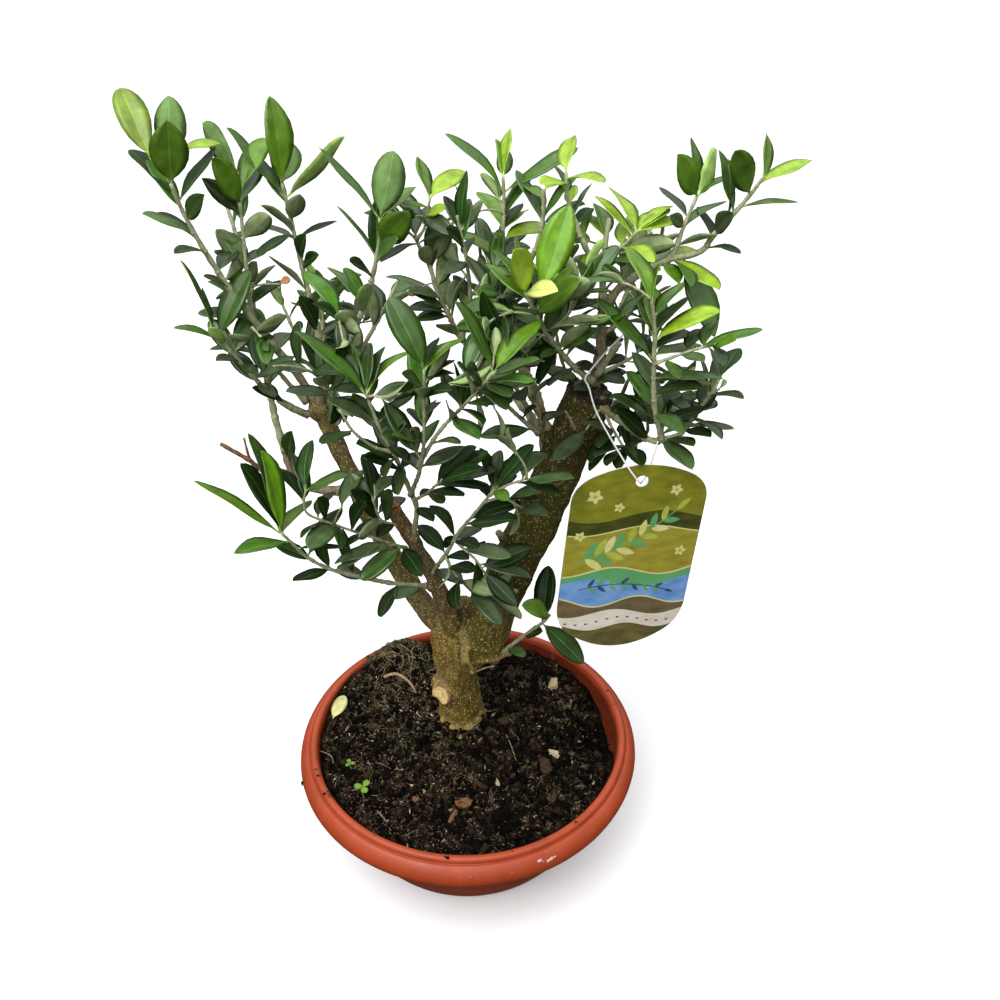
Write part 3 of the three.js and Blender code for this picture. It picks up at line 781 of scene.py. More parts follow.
for k in range(300):
    x, y = spot(rng, 88.0)
    crawl(x, y, rng.uniform(5, 18), rng.uniform(0.08, 0.17), 3 if rng.uniform() < 0.55 else 2, litter, 0.4, 3.0, 0.6)
for k in range(20):
    x, y = -46 + rng.normal(0, 13), 68 + rng.normal(0, 9)
    if math.hypot(x, y) < 90:
        crawl(x, y, rng.uniform(14, 36), rng.uniform(0.2, 0.45), 3, litter, 1.6, 3.0, 0.6)
for k in range(50):
    x, y = -50 + rng.normal(0, 18), 40 + rng.normal(0, 20)
    if math.hypot(x, y) < 90:
        crawl(x, y, rng.uniform(6, 18), rng.uniform(0.12, 0.26), 3, litter, 0.6, 3.0, 0.6)
for k in range(20):
    a = rng.uniform(0, 2 * math.pi)
    crawl(TRUNK_X + 17 * math.cos(a), TRUNK_Y + 17 * math.sin(a), rng.uniform(8, 18), rng.uniform(0.14, 0.3), 3, litter, 0.5)
for bends in [[(504, 732), (509, 742), (513, 752), (516, 761), (524, 768)], [(320, 752), (331, 757), (334, 766)], [(377, 812), (386, 822), (391, 832)], [(352, 792), (361, 790), (370, 796), (378, 797)],
              [(334, 790), (337, 782), (340, 779)]]:
    line = curve([on_soil(u, v) + UP * 1.2 for u, v in bends], 1.5)
    litter.add(*tube(line, taper(line, 0.32, 0.2), 5), mat=3)
arc = [on_soil(u, v) + np.array([0, 0, h]) for u, v, h in [(384, 679, 1.6), (394, 677, 3.0), (404, 681, 3.4), (412, 688, 2.6), (416, 694, 1.2)]]
arc = curve(arc, 1.5)
litter.add(*tube(arc, taper(arc, 1.15, 0.8), 8, 0.2, 4.0), mat=4)
litter.make("soil_litter", chip_mats, True, "soil")

# Shards: small sharp bits of bark, root and dry moss lying every way over the crumbs.
shard_mats = [dry_finish("shard_dark", (20, 15, 11), (46, 37, 28)), dry_finish("shard_brown", (62, 47, 34), (122, 98, 74)), dry_finish("shard_grey", (92, 83, 66), (154, 142, 118)),
              dry_finish("shard_pale", (150, 138, 112), (208, 194, 166)), dry_finish("shard_moss", (42, 44, 24), (86, 85, 50)), dry_finish("shard_rust", (66, 34, 22), (116, 66, 44))]
shards = Pile()
rng = dice("shards")
for k in range(11500):
    x, y = spot(rng, 94.0)
    if k >= 9000 and x > 0:
        x = -x
    size = min(2.4, 0.55 * math.exp(rng.normal(0.0, 0.55)))
    if math.hypot(x - TRUNK_X, y - TRUNK_Y) < 14.5 or math.hypot(x, y) > min(95.0, np.interp(ground(x, y), WALL_Z, WALL_R) - 0.5) - size or math.hypot(x - 86, y - 4) < 8:
        continue
    left = 1.0 / (1.0 + math.exp((x + 25) / 14))
    d = unit(rng.normal(0, 1, 3) * np.array([1, 1, 0.55]))
    e = unit(np.cross(d, rng.normal(0, 1, 3)))
    n = np.cross(d, e)
    c = np.array([x, y, ground(x, y) + rng.uniform(0.1, 1.1)])
    wide, thick = rng.uniform(0.25, 0.8), rng.uniform(0.12, 0.35)
    v = np.array([c - d * size, c + d * size * rng.uniform(0.5, 1.0) - e * size * wide * 0.6, c + d * size * rng.uniform(0.2, 0.9) + e * size * wide, c + n * size * thick - d * size * rng.uniform(-0.3, 0.3)])
    kind = int(rng.choice(6, p=[0.56 - 0.48 * left, 0.17 + 0.24 * left, 0.08 + 0.14 * left, 0.03 + 0.05 * left, 0.12 + 0.05 * left, 0.04]))
    shards.add(v, None, [[0, 2, 1], [0, 1, 3], [1, 2, 3], [2, 0, 3]], kind)
shards.make("soil_shards", shard_mats, False, "soil")

# Crumbs spilt on the lip and the band.
rng = dice("spilt")
spilt = Pile()
for u, v, size in [(330, 790, 1.8), (332, 794, 1.0), (311, 778, 1.2), (320, 768, 0.9), (609, 690, 1.1), (608, 706, 0.9), (445, 853, 1.7), (447, 857, 1.0), (512, 851, 0.7), (580, 826, 0.8), (380, 829, 0.7)]:
    d = ray(u, v)
    p = CAM + d * ((75.0 - CAM[2]) / d[2])
    p = np.array([p[0], p[1], 0.0]) / math.hypot(p[0], p[1]) * 100.7
    for k in range(3):
        crumb(spilt, p + np.array([rng.normal(0, 0.6 * size), rng.normal(0, 0.6 * size), 75.0 + 0.25 * size]), size * rng.uniform(0.5, 0.9), 0.6, rng, int(rng.choice([1, 1, 0, 2])), True)
for u, v, size in [(303, 784, 1.5), (306, 787, 1.0)]:
    p, n = pot_band(u, v)
    for k in range(3):
        crumb(spilt, p + n * 0.3 * size + rng.normal(0, 0.4 * size, 3) * (1 - np.abs(n)), size * rng.uniform(0.5, 0.9), 0.6, rng, int(rng.choice([1, 1, 0])), True)
for k in range(90):
    # Grains left on the bare wall above the soil.
    a, z = rng.uniform(-0.6, 0.9), rng.uniform(52, 72)
    r = float(np.interp(z, WALL_Z, WALL_R)) - 0.1
    if z > ground(0.95 * r * math.cos(a), 0.95 * r * math.sin(a)):
        crumb(spilt, np.array([r * math.cos(a), r * math.sin(a), z]), rng.uniform(0.25, 0.8), 0.6, rng, int(rng.choice([0, 1, 2, 3])), False)
spilt.make("soil_spilt", soil_mats, False, "soil")

moss_mats = [dry_finish("moss_green", (36, 42, 20), (86, 88, 46), 0.95, (700.0, 700.0, 700.0)),
             dry_finish("moss_grey", (74, 66, 49), (150, 138, 110), 0.95, (700.0, 700.0, 700.0)),
             dry_finish("moss_foot", (12, 10, 6), (40, 33, 22), 0.95, (700.0, 700.0, 700.0))]
moss = Pile()
rng = dice("moss")


def bed(x, y):
    """Height of whatever carries a bit of moss: the soil, or the lip beyond it."""
    r = math.hypot(x, y)
    return ground(x, y) if r < 96.4 else float(np.interp(r, [96.9, 97.6, 98.8, 100.8, 102.6], [71.8, 73.2, 74.4, 75.0, 74.4]))


def cushion(x0, y0, own, grey, tall):
    """A low lumpy dome of moss set with stubby shoots."""
    z0 = bed(x0, y0)
    crumb(moss, np.array([x0, y0, z0 - 0.3 * own]), own * 1.05, 0.7, rng, 2, True)
    for k in range(52):
        dx, dy = rng.normal(0, own, 2)
        near = math.exp(-(dx * dx + dy * dy) / (2.2 * own * own))
        low = bed(x0 + dx, y0 + dy)
        mat = int(rng.uniform() < grey)
        h, r = tall * rng.uniform(0.3, 1.0) * (0.45 + 0.55 * near), rng.uniform(0.22, 0.5)
        lean = np.array([0.35 * dx / own + rng.normal(0, 0.8), 0.35 * dy / own + rng.normal(0, 0.8), 1.0]) * h
        a, size, odd = rng.uniform(0, 2 * math.pi), rng.uniform(0.4, 1.1), rng.uniform()
        if math.hypot(x0 + dx, y0 + dy) > 101.5:
            continue
        foot = np.array([x0 + dx, y0 + dy, max(low, z0 + own * (0.75 * near - 0.25)) if near > 0.3 else low])
        if k % 4 == 0:
            crumb(moss, foot, size, 0.8, rng, mat if odd < 0.7 else 2, False)
            continue
        rim = [foot + np.array([r * math.cos(a + t), r * math.sin(a + t), -0.6]) for t in (0, 2.094, 4.189)]
        moss.add(np.vstack([rim, foot + lean]), None, [[0, 1, 3], [1, 2, 3], [2, 0, 3], [0, 2, 1]], mat)


def moss_patch(cx, cy, spread, count, tall):
    """Cushions of moss strewn round a spot."""
    for c in range(max(1, count // 64)):
        x0, y0 = cx + rng.normal(0, spread), cy + rng.normal(0, spread * 0.8)
        own, grey = rng.uniform(1.5, 3.6), rng.uniform(0.15, 0.95)
        if math.hypot(x0, y0) > 91 - own or math.hypot(x0 - TRUNK_X, y0 - TRUNK_Y) < 15 + own:
            continue
        cushion(x0, y0, own, grey, tall)


# Moss that swells over the lip behind the mound.
for k in range(70):
    r, a = rng.uniform(88.0, 99.0), math.radians(rng.uniform(119, 139))
    cushion(r * math.cos(a), r * math.sin(a), rng.uniform(1.8, 3.0), rng.uniform(0.1, 0.7), 1.8)
moss_patch(-48, 68, 13, 2400, 1.8)
moss_patch(-60, 40, 11, 900, 1.5)
moss_patch(-36, 30, 9, 600, 1.4)
for u, v, s, n in [(400, 740, 10, 1100), (440, 742, 9, 800), (375, 700, 9, 700), (410, 700, 8, 600), (500, 830, 10, 260), (560, 720, 9, 320), (530, 690, 9, 320), (455, 790, 10, 260), (350, 780, 6, 220),
                   (590, 690, 8, 300), (470, 735, 6, 260), (555, 702, 7, 380), (580, 796, 6, 260), (596, 775, 4, 130)]:
    p = on_soil(u, v)
    moss_patch(p[0], p[1], s, n, 1.5)
for k in range(9):
    x, y = spot(rng, 88)
    moss_patch(x, y, 5, 90, 1.2)
moss.make("soil_moss", moss_mats, True, "soil")


# ------------------------------------------------------------------ wood: trunk and limbs

TRUNK_STATIONS = [(-7, 0.9, 0, 14.6, 15.0), (-3, 0.7, 0, 14.5, 14.8), (0, 0.3, 0, 14.5, 14.3), (4, -0.1, 0, 14.1, 13.6), (9, -0.3, 0, 14.3, 13.8), (20, -1.4, -0.5, 14.0, 13.2), (30, -2.2, -1.1, 13.4, 12.9),
                  (38, -2.6, -1.7, 13.0, 12.7), (47, -0.3, -2.6, 15.4, 13.2), (55, 2.2, -3.4, 19.2, 14.0), (62, 4.4, -4, 22.2, 14.4), (69, 5.2, -4, 23.6, 14.2), (75, 5.5, -4, 22.6, 13.0), (80, 5.5, -4, 18.5, 9.8)]

LIMB_RIGHT = [(8, 14, 142), (24, 13, 187), (41, 13, 230), (55, 14, 270), (70, 16, 316)]
LIMB_LEFT = [(-9, 18, 142), (-29, 22, 165), (-57, 32, 219), (-67, 35, 250), (-81, 38, 291)]
LIMB_MIDDLE = [(-6, 11, 146), (-16, 4, 189), (-23, -2, 215), (-38, -14, 260)]


def trunk_loft(sides=64):
    st = np.array(TRUNK_STATIONS, float)
    zs = np.arange(st[0, 0], st[-1, 0] + 0.1, 1.5)
    cols = [np.interp(zs, st[:, 0], st[:, k]) for k in range(1, 5)]
    kernel = np.array([1, 2, 3, 2, 1]) / 9.0
    cols = [np.convolve(np.pad(c, 2, mode="edge"), kernel, mode="valid") for c in cols]
    dx, dy, rx, ry = cols
    a = np.arange(sides) * 2 * math.pi / sides
    flare = np.clip((16 - zs) / 16, 0, 1)[:, None] ** 1.5
    lobe = 1 + flare * (-0.02 + 0.06 * np.sin(4 * a + 0.7) + 0.05 * np.sin(7 * a + 2.1))[None, :]
    # A lengthwise fold up the front, where the limbs' wood runs down into the trunk.
    fold = np.exp(-((a - 4.62) / 0.16) ** 2)[None, :] * np.clip((zs - 20) / 16, 0, 1)[:, None] * np.clip((72 - zs) / 14, 0, 1)[:, None]
    lobe = lobe + 0.075 * fold - 0.05 * np.exp(-((a - 4.95) / 0.2) ** 2)[None, :] * np.clip((zs - 26) / 16, 0, 1)[:, None]
    x = TRUNK_X + dx[:, None] + rx[:, None] * lobe * np.cos(a)
    y = TRUNK_Y + dy[:, None] + ry[:, None] * lobe * np.sin(a)
    z = TRUNK_FOOT + zs[:, None] + 0 * a
    n = len(zs)
    verts = np.stack([x, y, z], -1).reshape(-1, 3)
    i, j = np.meshgrid(np.arange(n - 1), np.arange(sides), indexing="ij")
    k = (j + 1) % sides
    quads = np.stack([i * sides + j, i * sides + k, (i + 1) * sides + k, (i + 1) * sides + j], -1).reshape(-1, 4)
    verts = np.vstack([verts, verts[:sides].mean(0), verts[-sides:].mean(0)])
    j = np.arange(sides)
    k = (j + 1) % sides
    tris = np.vstack([np.stack([np.full(sides, n * sides), k, j], -1), np.stack([np.full(sides, n * sides + 1), (n - 1) * sides + j, (n - 1) * sides + k], -1)])
    return verts, quads, tris


def bulb(centre, size, stretch=(1, 1, 1)):
    return ICO2_V * size * np.array(stretch) + np.array(centre), None, ICO2_F


right_line, left_line, mid_line = curve(LIMB_RIGHT, 3.0), curve(LIMB_LEFT, 3.0), curve(LIMB_MIDDLE, 3.0)
right_r = np.interp(lengths(right_line), [0, 45, 100, 200], [16.4, 13.8, 13.4, 12.9])
left_r = np.interp(lengths(left_line), [0, 30, 90, 200], [8.8, 6.9, 5.5, 4.7])
mid_r = np.interp(lengths(mid_line), [0, 40, 80, 140], [7.6, 4.9, 4.3, 3.9])
core = Pile()
core.add(*trunk_loft())
core.add(*tube(right_line, right_r, 40, tip=False))
core.add(*tube(left_line, left_r, 28, tip=False))
core.add(*tube(mid_line, mid_r, 24, tip=False))
# Knots, stubs and the swellings where boughs spring from the limbs.
for centre, size, stretch in [((-19.5, 10, 104), 3.4, (1, 1, 1.4)), ((16.5, 7, 131), 5.2, (1.1, 0.8, 1.1)), (at(558, 446, 6), 4.6, (1, 1, 1.2)), (at(547, 438, 12), 4.4, (1, 1, 1)), (at(440, 683, 12), 6.2, (1.0, 1.0, 1.2)), (at(463, 607, 18), 7.0, (1, 1, 1.1)),
                              (at(597, 398, 12), 6.4, (1.2, 1, 1)), (at(502, 537, 4), 3.2, (1, 1, 1)), (at(346, 490, 32), 4.2, (1, 1, 1)), (at(318, 410, 37), 6.4, (1, 1, 1.1)),
                              (at(432, 586, 1), 4.4, (1, 1, 1)), (at(433, 571, 0), 3.6, (1, 1, 1)), (at(412, 536, -8), 4.6, (1, 1, 1)), (at(504, 652, 9), 3.0, (1, 1, 1)),
                              (at(560, 470, 4), 3.0, (1, 1, 1.3))]:
    core.add(*bulb(centre, size, stretch))
# A torn flap of bark under the thick limb.
line = curve([at(*b) for b in [(478, 663, 2), (490, 661, 3), (502, 657, 5), (511, 654, 7)]], 1.5)
core.add(*tube(line, taper(line, 1.2, 1.6), 10))


def on_trunk(u, v, out):
    """The point seen at (u, v) that stands out from the trunk's front by the given length."""
    st = np.array(TRUNK_STATIONS, float)
    y = 2.0
    for _ in range(6):
        p = at(u, v, y)
        dx, dy, rx, ry = [float(np.interp(p[2] - TRUNK_FOOT, st[:, 0], st[:, k])) for k in range(1, 5)]
        y = TRUNK_Y + dy - ry * math.sqrt(max(0.0, 1 - ((p[0] - TRUNK_X - dx) / rx) ** 2)) - out
    return at(u, v, y)


# Two lengthwise ridges where the limbs' wood runs down the trunk, and a burr at their foot.
RIDGES = []
for bends, radii in [([(461.5, 634), (462.5, 643), (463, 654), (464, 666)], (1.3, 1.5)), ([(465.5, 641), (467, 651), (468.5, 661), (472, 669)], (1.3, 1.6))]:
    line = curve([on_trunk(u, v, 1.6) for u, v in bends], 1.5)
    RIDGES.append(line)
    core.add(*tube(line, taper(line, *radii), 10))
core.add(*bulb(on_trunk(473.5, 672, 0.4), 2.4))
# Callus beads along the foot.
for u, v, r in [(451, 727, 1.9), (456, 729, 2.3), (461, 731, 1.8), (466, 729.5, 2.4), (471, 726.5, 2.0), (475, 723, 2.5), (479, 718, 2.2), (481.5, 712, 1.9)]:
    core.add(*bulb(on_trunk(u, v, 0.2), r))
# A cut-off branch low on the left: a short stub that ends in a flat face.
STUB_END, STUB_OUT = at(440, 695.5, 3.6), unit([-0.56, -0.80, 0.16])
line = curve([STUB_END - STUB_OUT * 17, STUB_END - STUB_OUT * 8, STUB_END], 1.0)
core.add(*tube(line, taper(line, 7.6, 6.0), 24, tip=False))
raw = core.make("bark_core", [], True)
remesh = raw.modifiers.new("remesh", "REMESH")
remesh.mode = "VOXEL"
remesh.voxel_size = 0.00085
remesh.adaptivity = 0.0
soft = raw.modifiers.new("soft", "SMOOTH")
soft.factor = 0.5
soft.iterations = 7
bpy.context.view_layer.update()
bark_mesh = bpy.data.meshes.new_from_object(raw.evaluated_get(bpy.context.evaluated_depsgraph_get()))
bpy.data.objects.remove(raw)
bark_mesh.name = "bark"

nv = len(bark_mesh.vertices)
co = np.zeros(nv * 3, np.float32)
bark_mesh.vertices.foreach_get("co", co)
co = co.reshape(-1, 3).astype(float) / MM
nrm = np.zeros(nv * 3, np.float32)
bark_mesh.vertex_normals.foreach_get("vector", nrm)
nrm = nrm.reshape(-1, 3).astype(float)


def nearest_on(line, pts):
    """Distance from each point to a sampled line, and the index of the nearest sample."""
    d = np.linalg.norm(pts[:, None, :] - line[None, :, :], axis=2)
    k = d.argmin(1)
    return d[np.arange(len(pts)), k], k


d_right, k_right = nearest_on(right_line, co)
d_left, k_left = nearest_on(left_line, co)
d_mid, k_mid = nearest_on(mid_line, co)
axis_trunk = np.stack([np.interp(co[:, 2], TRUNK_FOOT + np.array(TRUNK_STATIONS)[:, 0], TRUNK_X + np.array(TRUNK_STATIONS)[:, 1]),
                       np.interp(co[:, 2], TRUNK_FOOT + np.array(TRUNK_STATIONS)[:, 0], TRUNK_Y + np.array(TRUNK_STATIONS)[:, 2])], -1)
height = co[:, 2] - TRUNK_FOOT
in_right = (d_right < 16.8) & (height > 62)
in_left = (d_left < 10) & (height > 62) & ~in_right
in_mid = (d_mid < 8.6) & (height > 66) & ~in_right & ~in_left
along = np.where(in_right, lengths(right_line)[k_right], np.where(in_left, lengths(left_line)[k_left], np.where(in_mid, lengths(mid_line)[k_mid], height)))
right_top = np.clip((lengths(right_line)[k_right] - (lengths(right_line)[-1] - 5)) / 5, 0, 1) * in_right
mid_top = np.clip((lengths(mid_line)[k_mid] - (lengths(mid_line)[-1] - 3)) / 3, 0, 1) * in_mid

push = np.zeros(nv)
grain = np.zeros(nv)
for n_ in range(nv):
    x, y, z = co[n_]
    p = Vector((x, y, z))
    big = noise.noise(p * 0.06)
    mid_n = noise.noise(Vector((x * 0.2, y * 0.2, z * 0.12)) + Vector((7.7, 1.1, 0)))
    fine = noise.noise(Vector((x * 0.55, y * 0.55, z * 0.25)) + Vector((1.3, 9.1, 4)))
    tiny = noise.noise(p * 1.1 + Vector((4.2, 0.3, 8.8)))
    flare = max(0.0, min(1.0, (13 - height[n_]) / 13))
    push[n_] = 1.15 * big + 0.62 * mid_n + (0.34 + 0.5 * flare) * fine + (0.14 + 0.34 * flare) * tiny
    grain[n_] = 0.5 + 0.5 * (0.5 * mid_n + 0.5 * fine)
    # Ragged cut at the top of the thick limb.
    if right_top[n_] > 0:
        push[n_] += right_top[n_] * (2.6 * noise.noise(p * 0.35) + 1.4 * noise.noise(p * 0.9))
thin = np.where(in_mid, 0.62, np.where(in_left, 0.72, 1.0))
# The stub's face is smooth and dished, with a rolled rim of bark round it and a fold under it, sunk in and painted dark
# as painted shade.
rel = co - STUB_END
face_h = rel @ STUB_OUT
face_r = np.linalg.norm(rel - face_h[:, None] * STUB_OUT, axis=1)
scar = np.clip((face_h + 2.0) / 1.0, 0, 1) * np.clip((6.0 - face_r) / 1.0, 0, 1)
rim = np.exp(-((face_r - 6.1) / 1.0) ** 2) * (face_h > -3.5) * (face_h < 3)
# Bark has grown over the lower left of the face, so that what is left bare is a crescent.
notch = np.exp(-(np.linalg.norm(co - at(435.5, 704.0, 3.6), axis=1) / 4.6) ** 4)
# Grooves beside the two ridges, sunk in and painted dark as painted shade.
groove = np.zeros(nv)
for bends in [[(458.5, 640), (459.5, 652), (461, 665)], [(464.3, 637), (465.2, 649), (466.4, 661), (468.5, 668)], [(470.5, 642), (471.5, 652), (473, 662)]]:
    groove = np.maximum(groove, np.exp(-(nearest_on(curve([on_trunk(u, v, 0.6) for u, v in bends], 1.5), co)[0] / 1.25) ** 2))
scar, rim = scar * (1 - notch), rim * (1 - notch)
fold_c = at(447, 709, 5.5)
under = np.exp(-(((co[:, 0] - fold_c[0]) / 6.5) ** 2 + ((co[:, 1] - fold_c[1]) / 7) ** 2 + ((co[:, 2] - fold_c[2]) / 2.2) ** 2))
push = push * thin * (1 - 0.8 * scar) - 0.7 * scar * np.clip(1 - (face_r / 6) ** 2, 0, 1) + 0.7 * rim - 2.4 * under - 1.6 * notch - 0.9 * groove
co2 = co + nrm * push[:, None]
bark_mesh.vertices.foreach_set("co", (co2 * MM).astype(np.float32).ravel())


def blend(a, b, f):
    f = np.clip(f, 0, 1)[:, None]
    return a * (1 - f) + b * f


tone = np.tile(np.array(srgb(157, 127, 53)[:3]), (nv, 1))
tone = blend(tone, np.array(srgb(116, 98, 46)[:3]), 1.2 * (grain - 0.35))
# Greener to the right and low on the trunk and over the fork, browner to the left.
tone = blend(tone, np.array(srgb(99, 87, 13)[:3]), np.clip((co[:, 0] + 11) / 10, 0, 1) * np.clip((46 - height) / 14, 0, 1) * 0.88)
tone = blend(tone, np.array(srgb(96, 98, 14)[:3]), np.exp(-(((co[:, 0] - 8) / 12) ** 2 + ((co[:, 2] - 150) / 19) ** 2)) * 0.9)
for line in RIDGES:
    tone = blend(tone, np.array(srgb(216, 188, 116)[:3]), np.exp(-(nearest_on(line, co)[0] / 2.1) ** 2) * 0.85)
tone = blend(tone, np.array(srgb(74, 74, 4)[:3]), in_right * np.clip((along - 8) / 45, 0, 1) * 0.94)
tone = blend(tone, np.array(srgb(64, 55, 18)[:3]), in_right * np.clip((along - 128) / 30, 0, 1) * 0.7)
tone = blend(tone, np.array(srgb(142, 130, 80)[:3]), in_left * 0.85)
tone = blend(tone, np.array(srgb(140, 118, 86)[:3]), in_mid * np.clip((along - 10) / 30, 0, 1) * 0.85)
tone = blend(tone, np.array(srgb(186, 156, 108)[:3]), np.clip((6 - height) / 8, 0, 1) * (0.25 + 1.5 * (grain - 0.35)))
tone = blend(tone, np.array(srgb(150, 122, 84)[:3]), np.exp(-(((co[:, 0] - 17) / 8) ** 2 + ((co[:, 2] - 127) / 9) ** 2)) * (grain > 0.5) * 0.8)
tone = blend(tone, np.array(srgb(36, 29, 20)[:3]), right_top * 0.95)
tone = blend(tone, np.array(srgb(160, 100, 56)[:3]), mid_top)
tone = blend(tone, np.array(srgb(196, 166, 112)[:3]), np.exp(-(np.linalg.norm(co - at(441, 680, 5), axis=1) / 8) ** 2) * 0.6)
# Painted shade in the fork between the limbs.
tone = blend(tone, np.array(srgb(44, 36, 14)[:3]), np.exp(-(np.linalg.norm(co - at(463, 612, 10), axis=1) / 8) ** 2) * 0.8)
tone = blend(tone, np.array(srgb(178, 144, 90)[:3]), rim * 0.7)
tone = blend(tone, np.array(srgb(240, 208, 148)[:3]), np.clip(scar * 1.8, 0, 1) * (0.86 + 0.3 * (grain - 0.3)))
# Rings and checks in the bare wood of the stub.
ring = np.exp(-((face_r - 2.2) / 0.5) ** 2) + np.exp(-((face_r - 4.3) / 0.5) ** 2)
tone = blend(tone, np.array(srgb(150, 112, 62)[:3]), scar * (0.45 * ring * (grain > 0.42) + 0.5 * (grain > 0.62)))
# Painted shade in the fold under the stub.
tone = blend(tone, np.array(srgb(36, 26, 12)[:3]), under * 0.9)
tone = blend(tone, np.array(srgb(96, 76, 30)[:3]), notch * 0.85)
# Painted shade in the grooves.
tone = blend(tone, np.array(srgb(58, 43, 16)[:3]), groove * 0.8)
speck = (1.0 - 0.3 * in_right * np.clip((along - 20) / 50, 0, 1)) * (1.0 - np.clip(np.maximum.reduce([right_top, mid_top, np.clip(scar * 2, 0, 1), np.clip((1.5 - height) / 4, 0, 1)]), 0, 1))
layer = bark_mesh.color_attributes.new("bark_tone", "FLOAT_COLOR", "POINT")
layer.data.foreach_set("color", np.hstack([tone, np.ones((nv, 1))]).astype(np.float32).ravel())
layer = bark_mesh.color_attributes.new("bark_speck", "FLOAT_COLOR", "POINT")
layer.data.foreach_set("color", np.hstack([np.repeat(speck[:, None], 3, 1), np.ones((nv, 1))]).astype(np.float32).ravel())


def bark_finish():
    f = Finish("bark_olive", 0.72, 0.35)
    own = f.tint("bark_tone")
    streak = f.noise(1.0, 5.0, 0.65, vec=f.stretch((330.0, 330.0, 90.0), (0, 0.28, 0)))
    tone = f.mix(f.math("MULTIPLY", f.grey(streak, 0.38, 0.66, 0.62, 0.0), f.tint("bark_speck")), own, srgb(44, 34, 14))
    tone = f.mix(f.math("MULTIPLY", f.grey(f.noise(70.0, 4.0, 0.65), 0.48, 0.72, 0.0, 0.35), f.tint("bark_speck")), tone, srgb(92, 92, 40))
    tone = f.mix(f.grey(f.noise(210.0, 4.0, 0.7), 0.57, 0.74, 0.0, 0.6), tone, srgb(208, 182, 128))
    # Fine dark mottling, then pale breathing pores: small, dense and drawn out lengthwise, with a few larger ones among them.
    tone = f.mix(f.math("MULTIPLY", f.grey(f.noise(620.0, 4.0, 0.75), 0.36, 0.56, 0.6, 0.0), f.tint("bark_speck")), tone, srgb(34, 26, 6))
    dots = f.cells(1.0, vec=f.stretch((700.0, 700.0, 430.0)))
    dots2 = f.cells(300.0)
    pores = f.grey(dots, 0.15, 0.26, 0.9, 0.0)
    pores2 = f.grey(dots2, 0.05, 0.09, 1.0, 0.0)
    both = f.math("MULTIPLY", f.math("MAXIMUM", pores, pores2), f.tint("bark_speck"))
    tone = f.mix(both, tone, srgb(238, 214, 140))
    f.base(tone)
    h = f.math("ADD", f.math("MULTIPLY", both, 0.5), f.math("MULTIPLY", f.noise(520.0, 5.0, 0.7), 0.9))
    h = f.math("ADD", h, streak)
    f.normal(f.bump(h, 0.55, 0.0011))
    f.rough(f.grey(streak, 0.3, 0.7, 0.86, 0.6))
    return f.mat


bark_mat = bark_finish()
bark_mesh.materials.clear()
bark_mesh.materials.append(bark_mat)
bark_mesh.polygons.foreach_set("use_smooth", np.full(len(bark_mesh.polygons), True))
bark_mesh.polygons.foreach_set("material_index", np.zeros(len(bark_mesh.polygons), np.int32))
bark_mesh.update()
bark = place(bpy.data.objects.new("bark_trunk_limbs", bark_mesh), ("trunk", "limb_right", "limb_left", "limb_middle"))
bark_tree = BVHTree.FromPolygons([Vector(p) for p in co2], [tuple(p.vertices) for p in bark_mesh.polygons])


# ------------------------------------------------------------------ foliage: where it may grow

MASS_NAMES = sorted(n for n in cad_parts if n.startswith("foliage_"))
MASSES = {}
for name in MASS_NAMES:
    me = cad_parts[name].data
    pts = [v.co / MM for v in me.vertices]
    lo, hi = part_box(name)
    MASSES[name] = (BVHTree.FromPolygons(pts, [tuple(p.vertices) for p in me.polygons]), np.array(lo) / MM, np.array(hi) / MM)


def depth_in(tree, p):
    """Distance outside a closed solid, negative inside it."""
    loc, n, _, d = tree.find_nearest(Vector(p))
    return -d if (Vector(p) - loc).dot(n) < 0 else d


def outside(p, slack):
    """True if p is further than slack from every mass of foliage."""
    for tree, lo, hi in MASSES.values():
        if np.all(p > lo - slack) and np.all(p < hi + slack) and depth_in(tree, p) < slack:
            return False
    return True


TAG_HOLE = np.array([94.5, -30.0, 286.7])
TAG_TURN, TAG_LEAN = 0.18, 0.075


def hits_solid(base, tip):
    """True if the outer part of a leaf would pass through a limb, the card or the bowl."""
    for s in (0.35, 0.7, 1.0):
        p = base * (1 - s) + tip * s
        loc, n, _, d = bark_tree.find_nearest(Vector(p))
        if d is not None and ((Vector(p) - loc).dot(n) < 0 or d < 1.2):
            return True
        if p[2] < 82 and math.hypot(p[0], p[1]) < 112:
            return True
        q = p - TAG_HOLE
        ct, st, cl, sl = math.cos(TAG_TURN), math.sin(TAG_TURN), math.cos(TAG_LEAN), math.sin(TAG_LEAN)
        x, y = q[0] * ct + q[1] * st, q[1] * ct - q[0] * st
        x, z = x * cl - q[2] * sl, x * sl + q[2] * cl
        if -40 < x < 41 and -115 < z < 13 and abs(y) < 4.0:
            return True
    return False
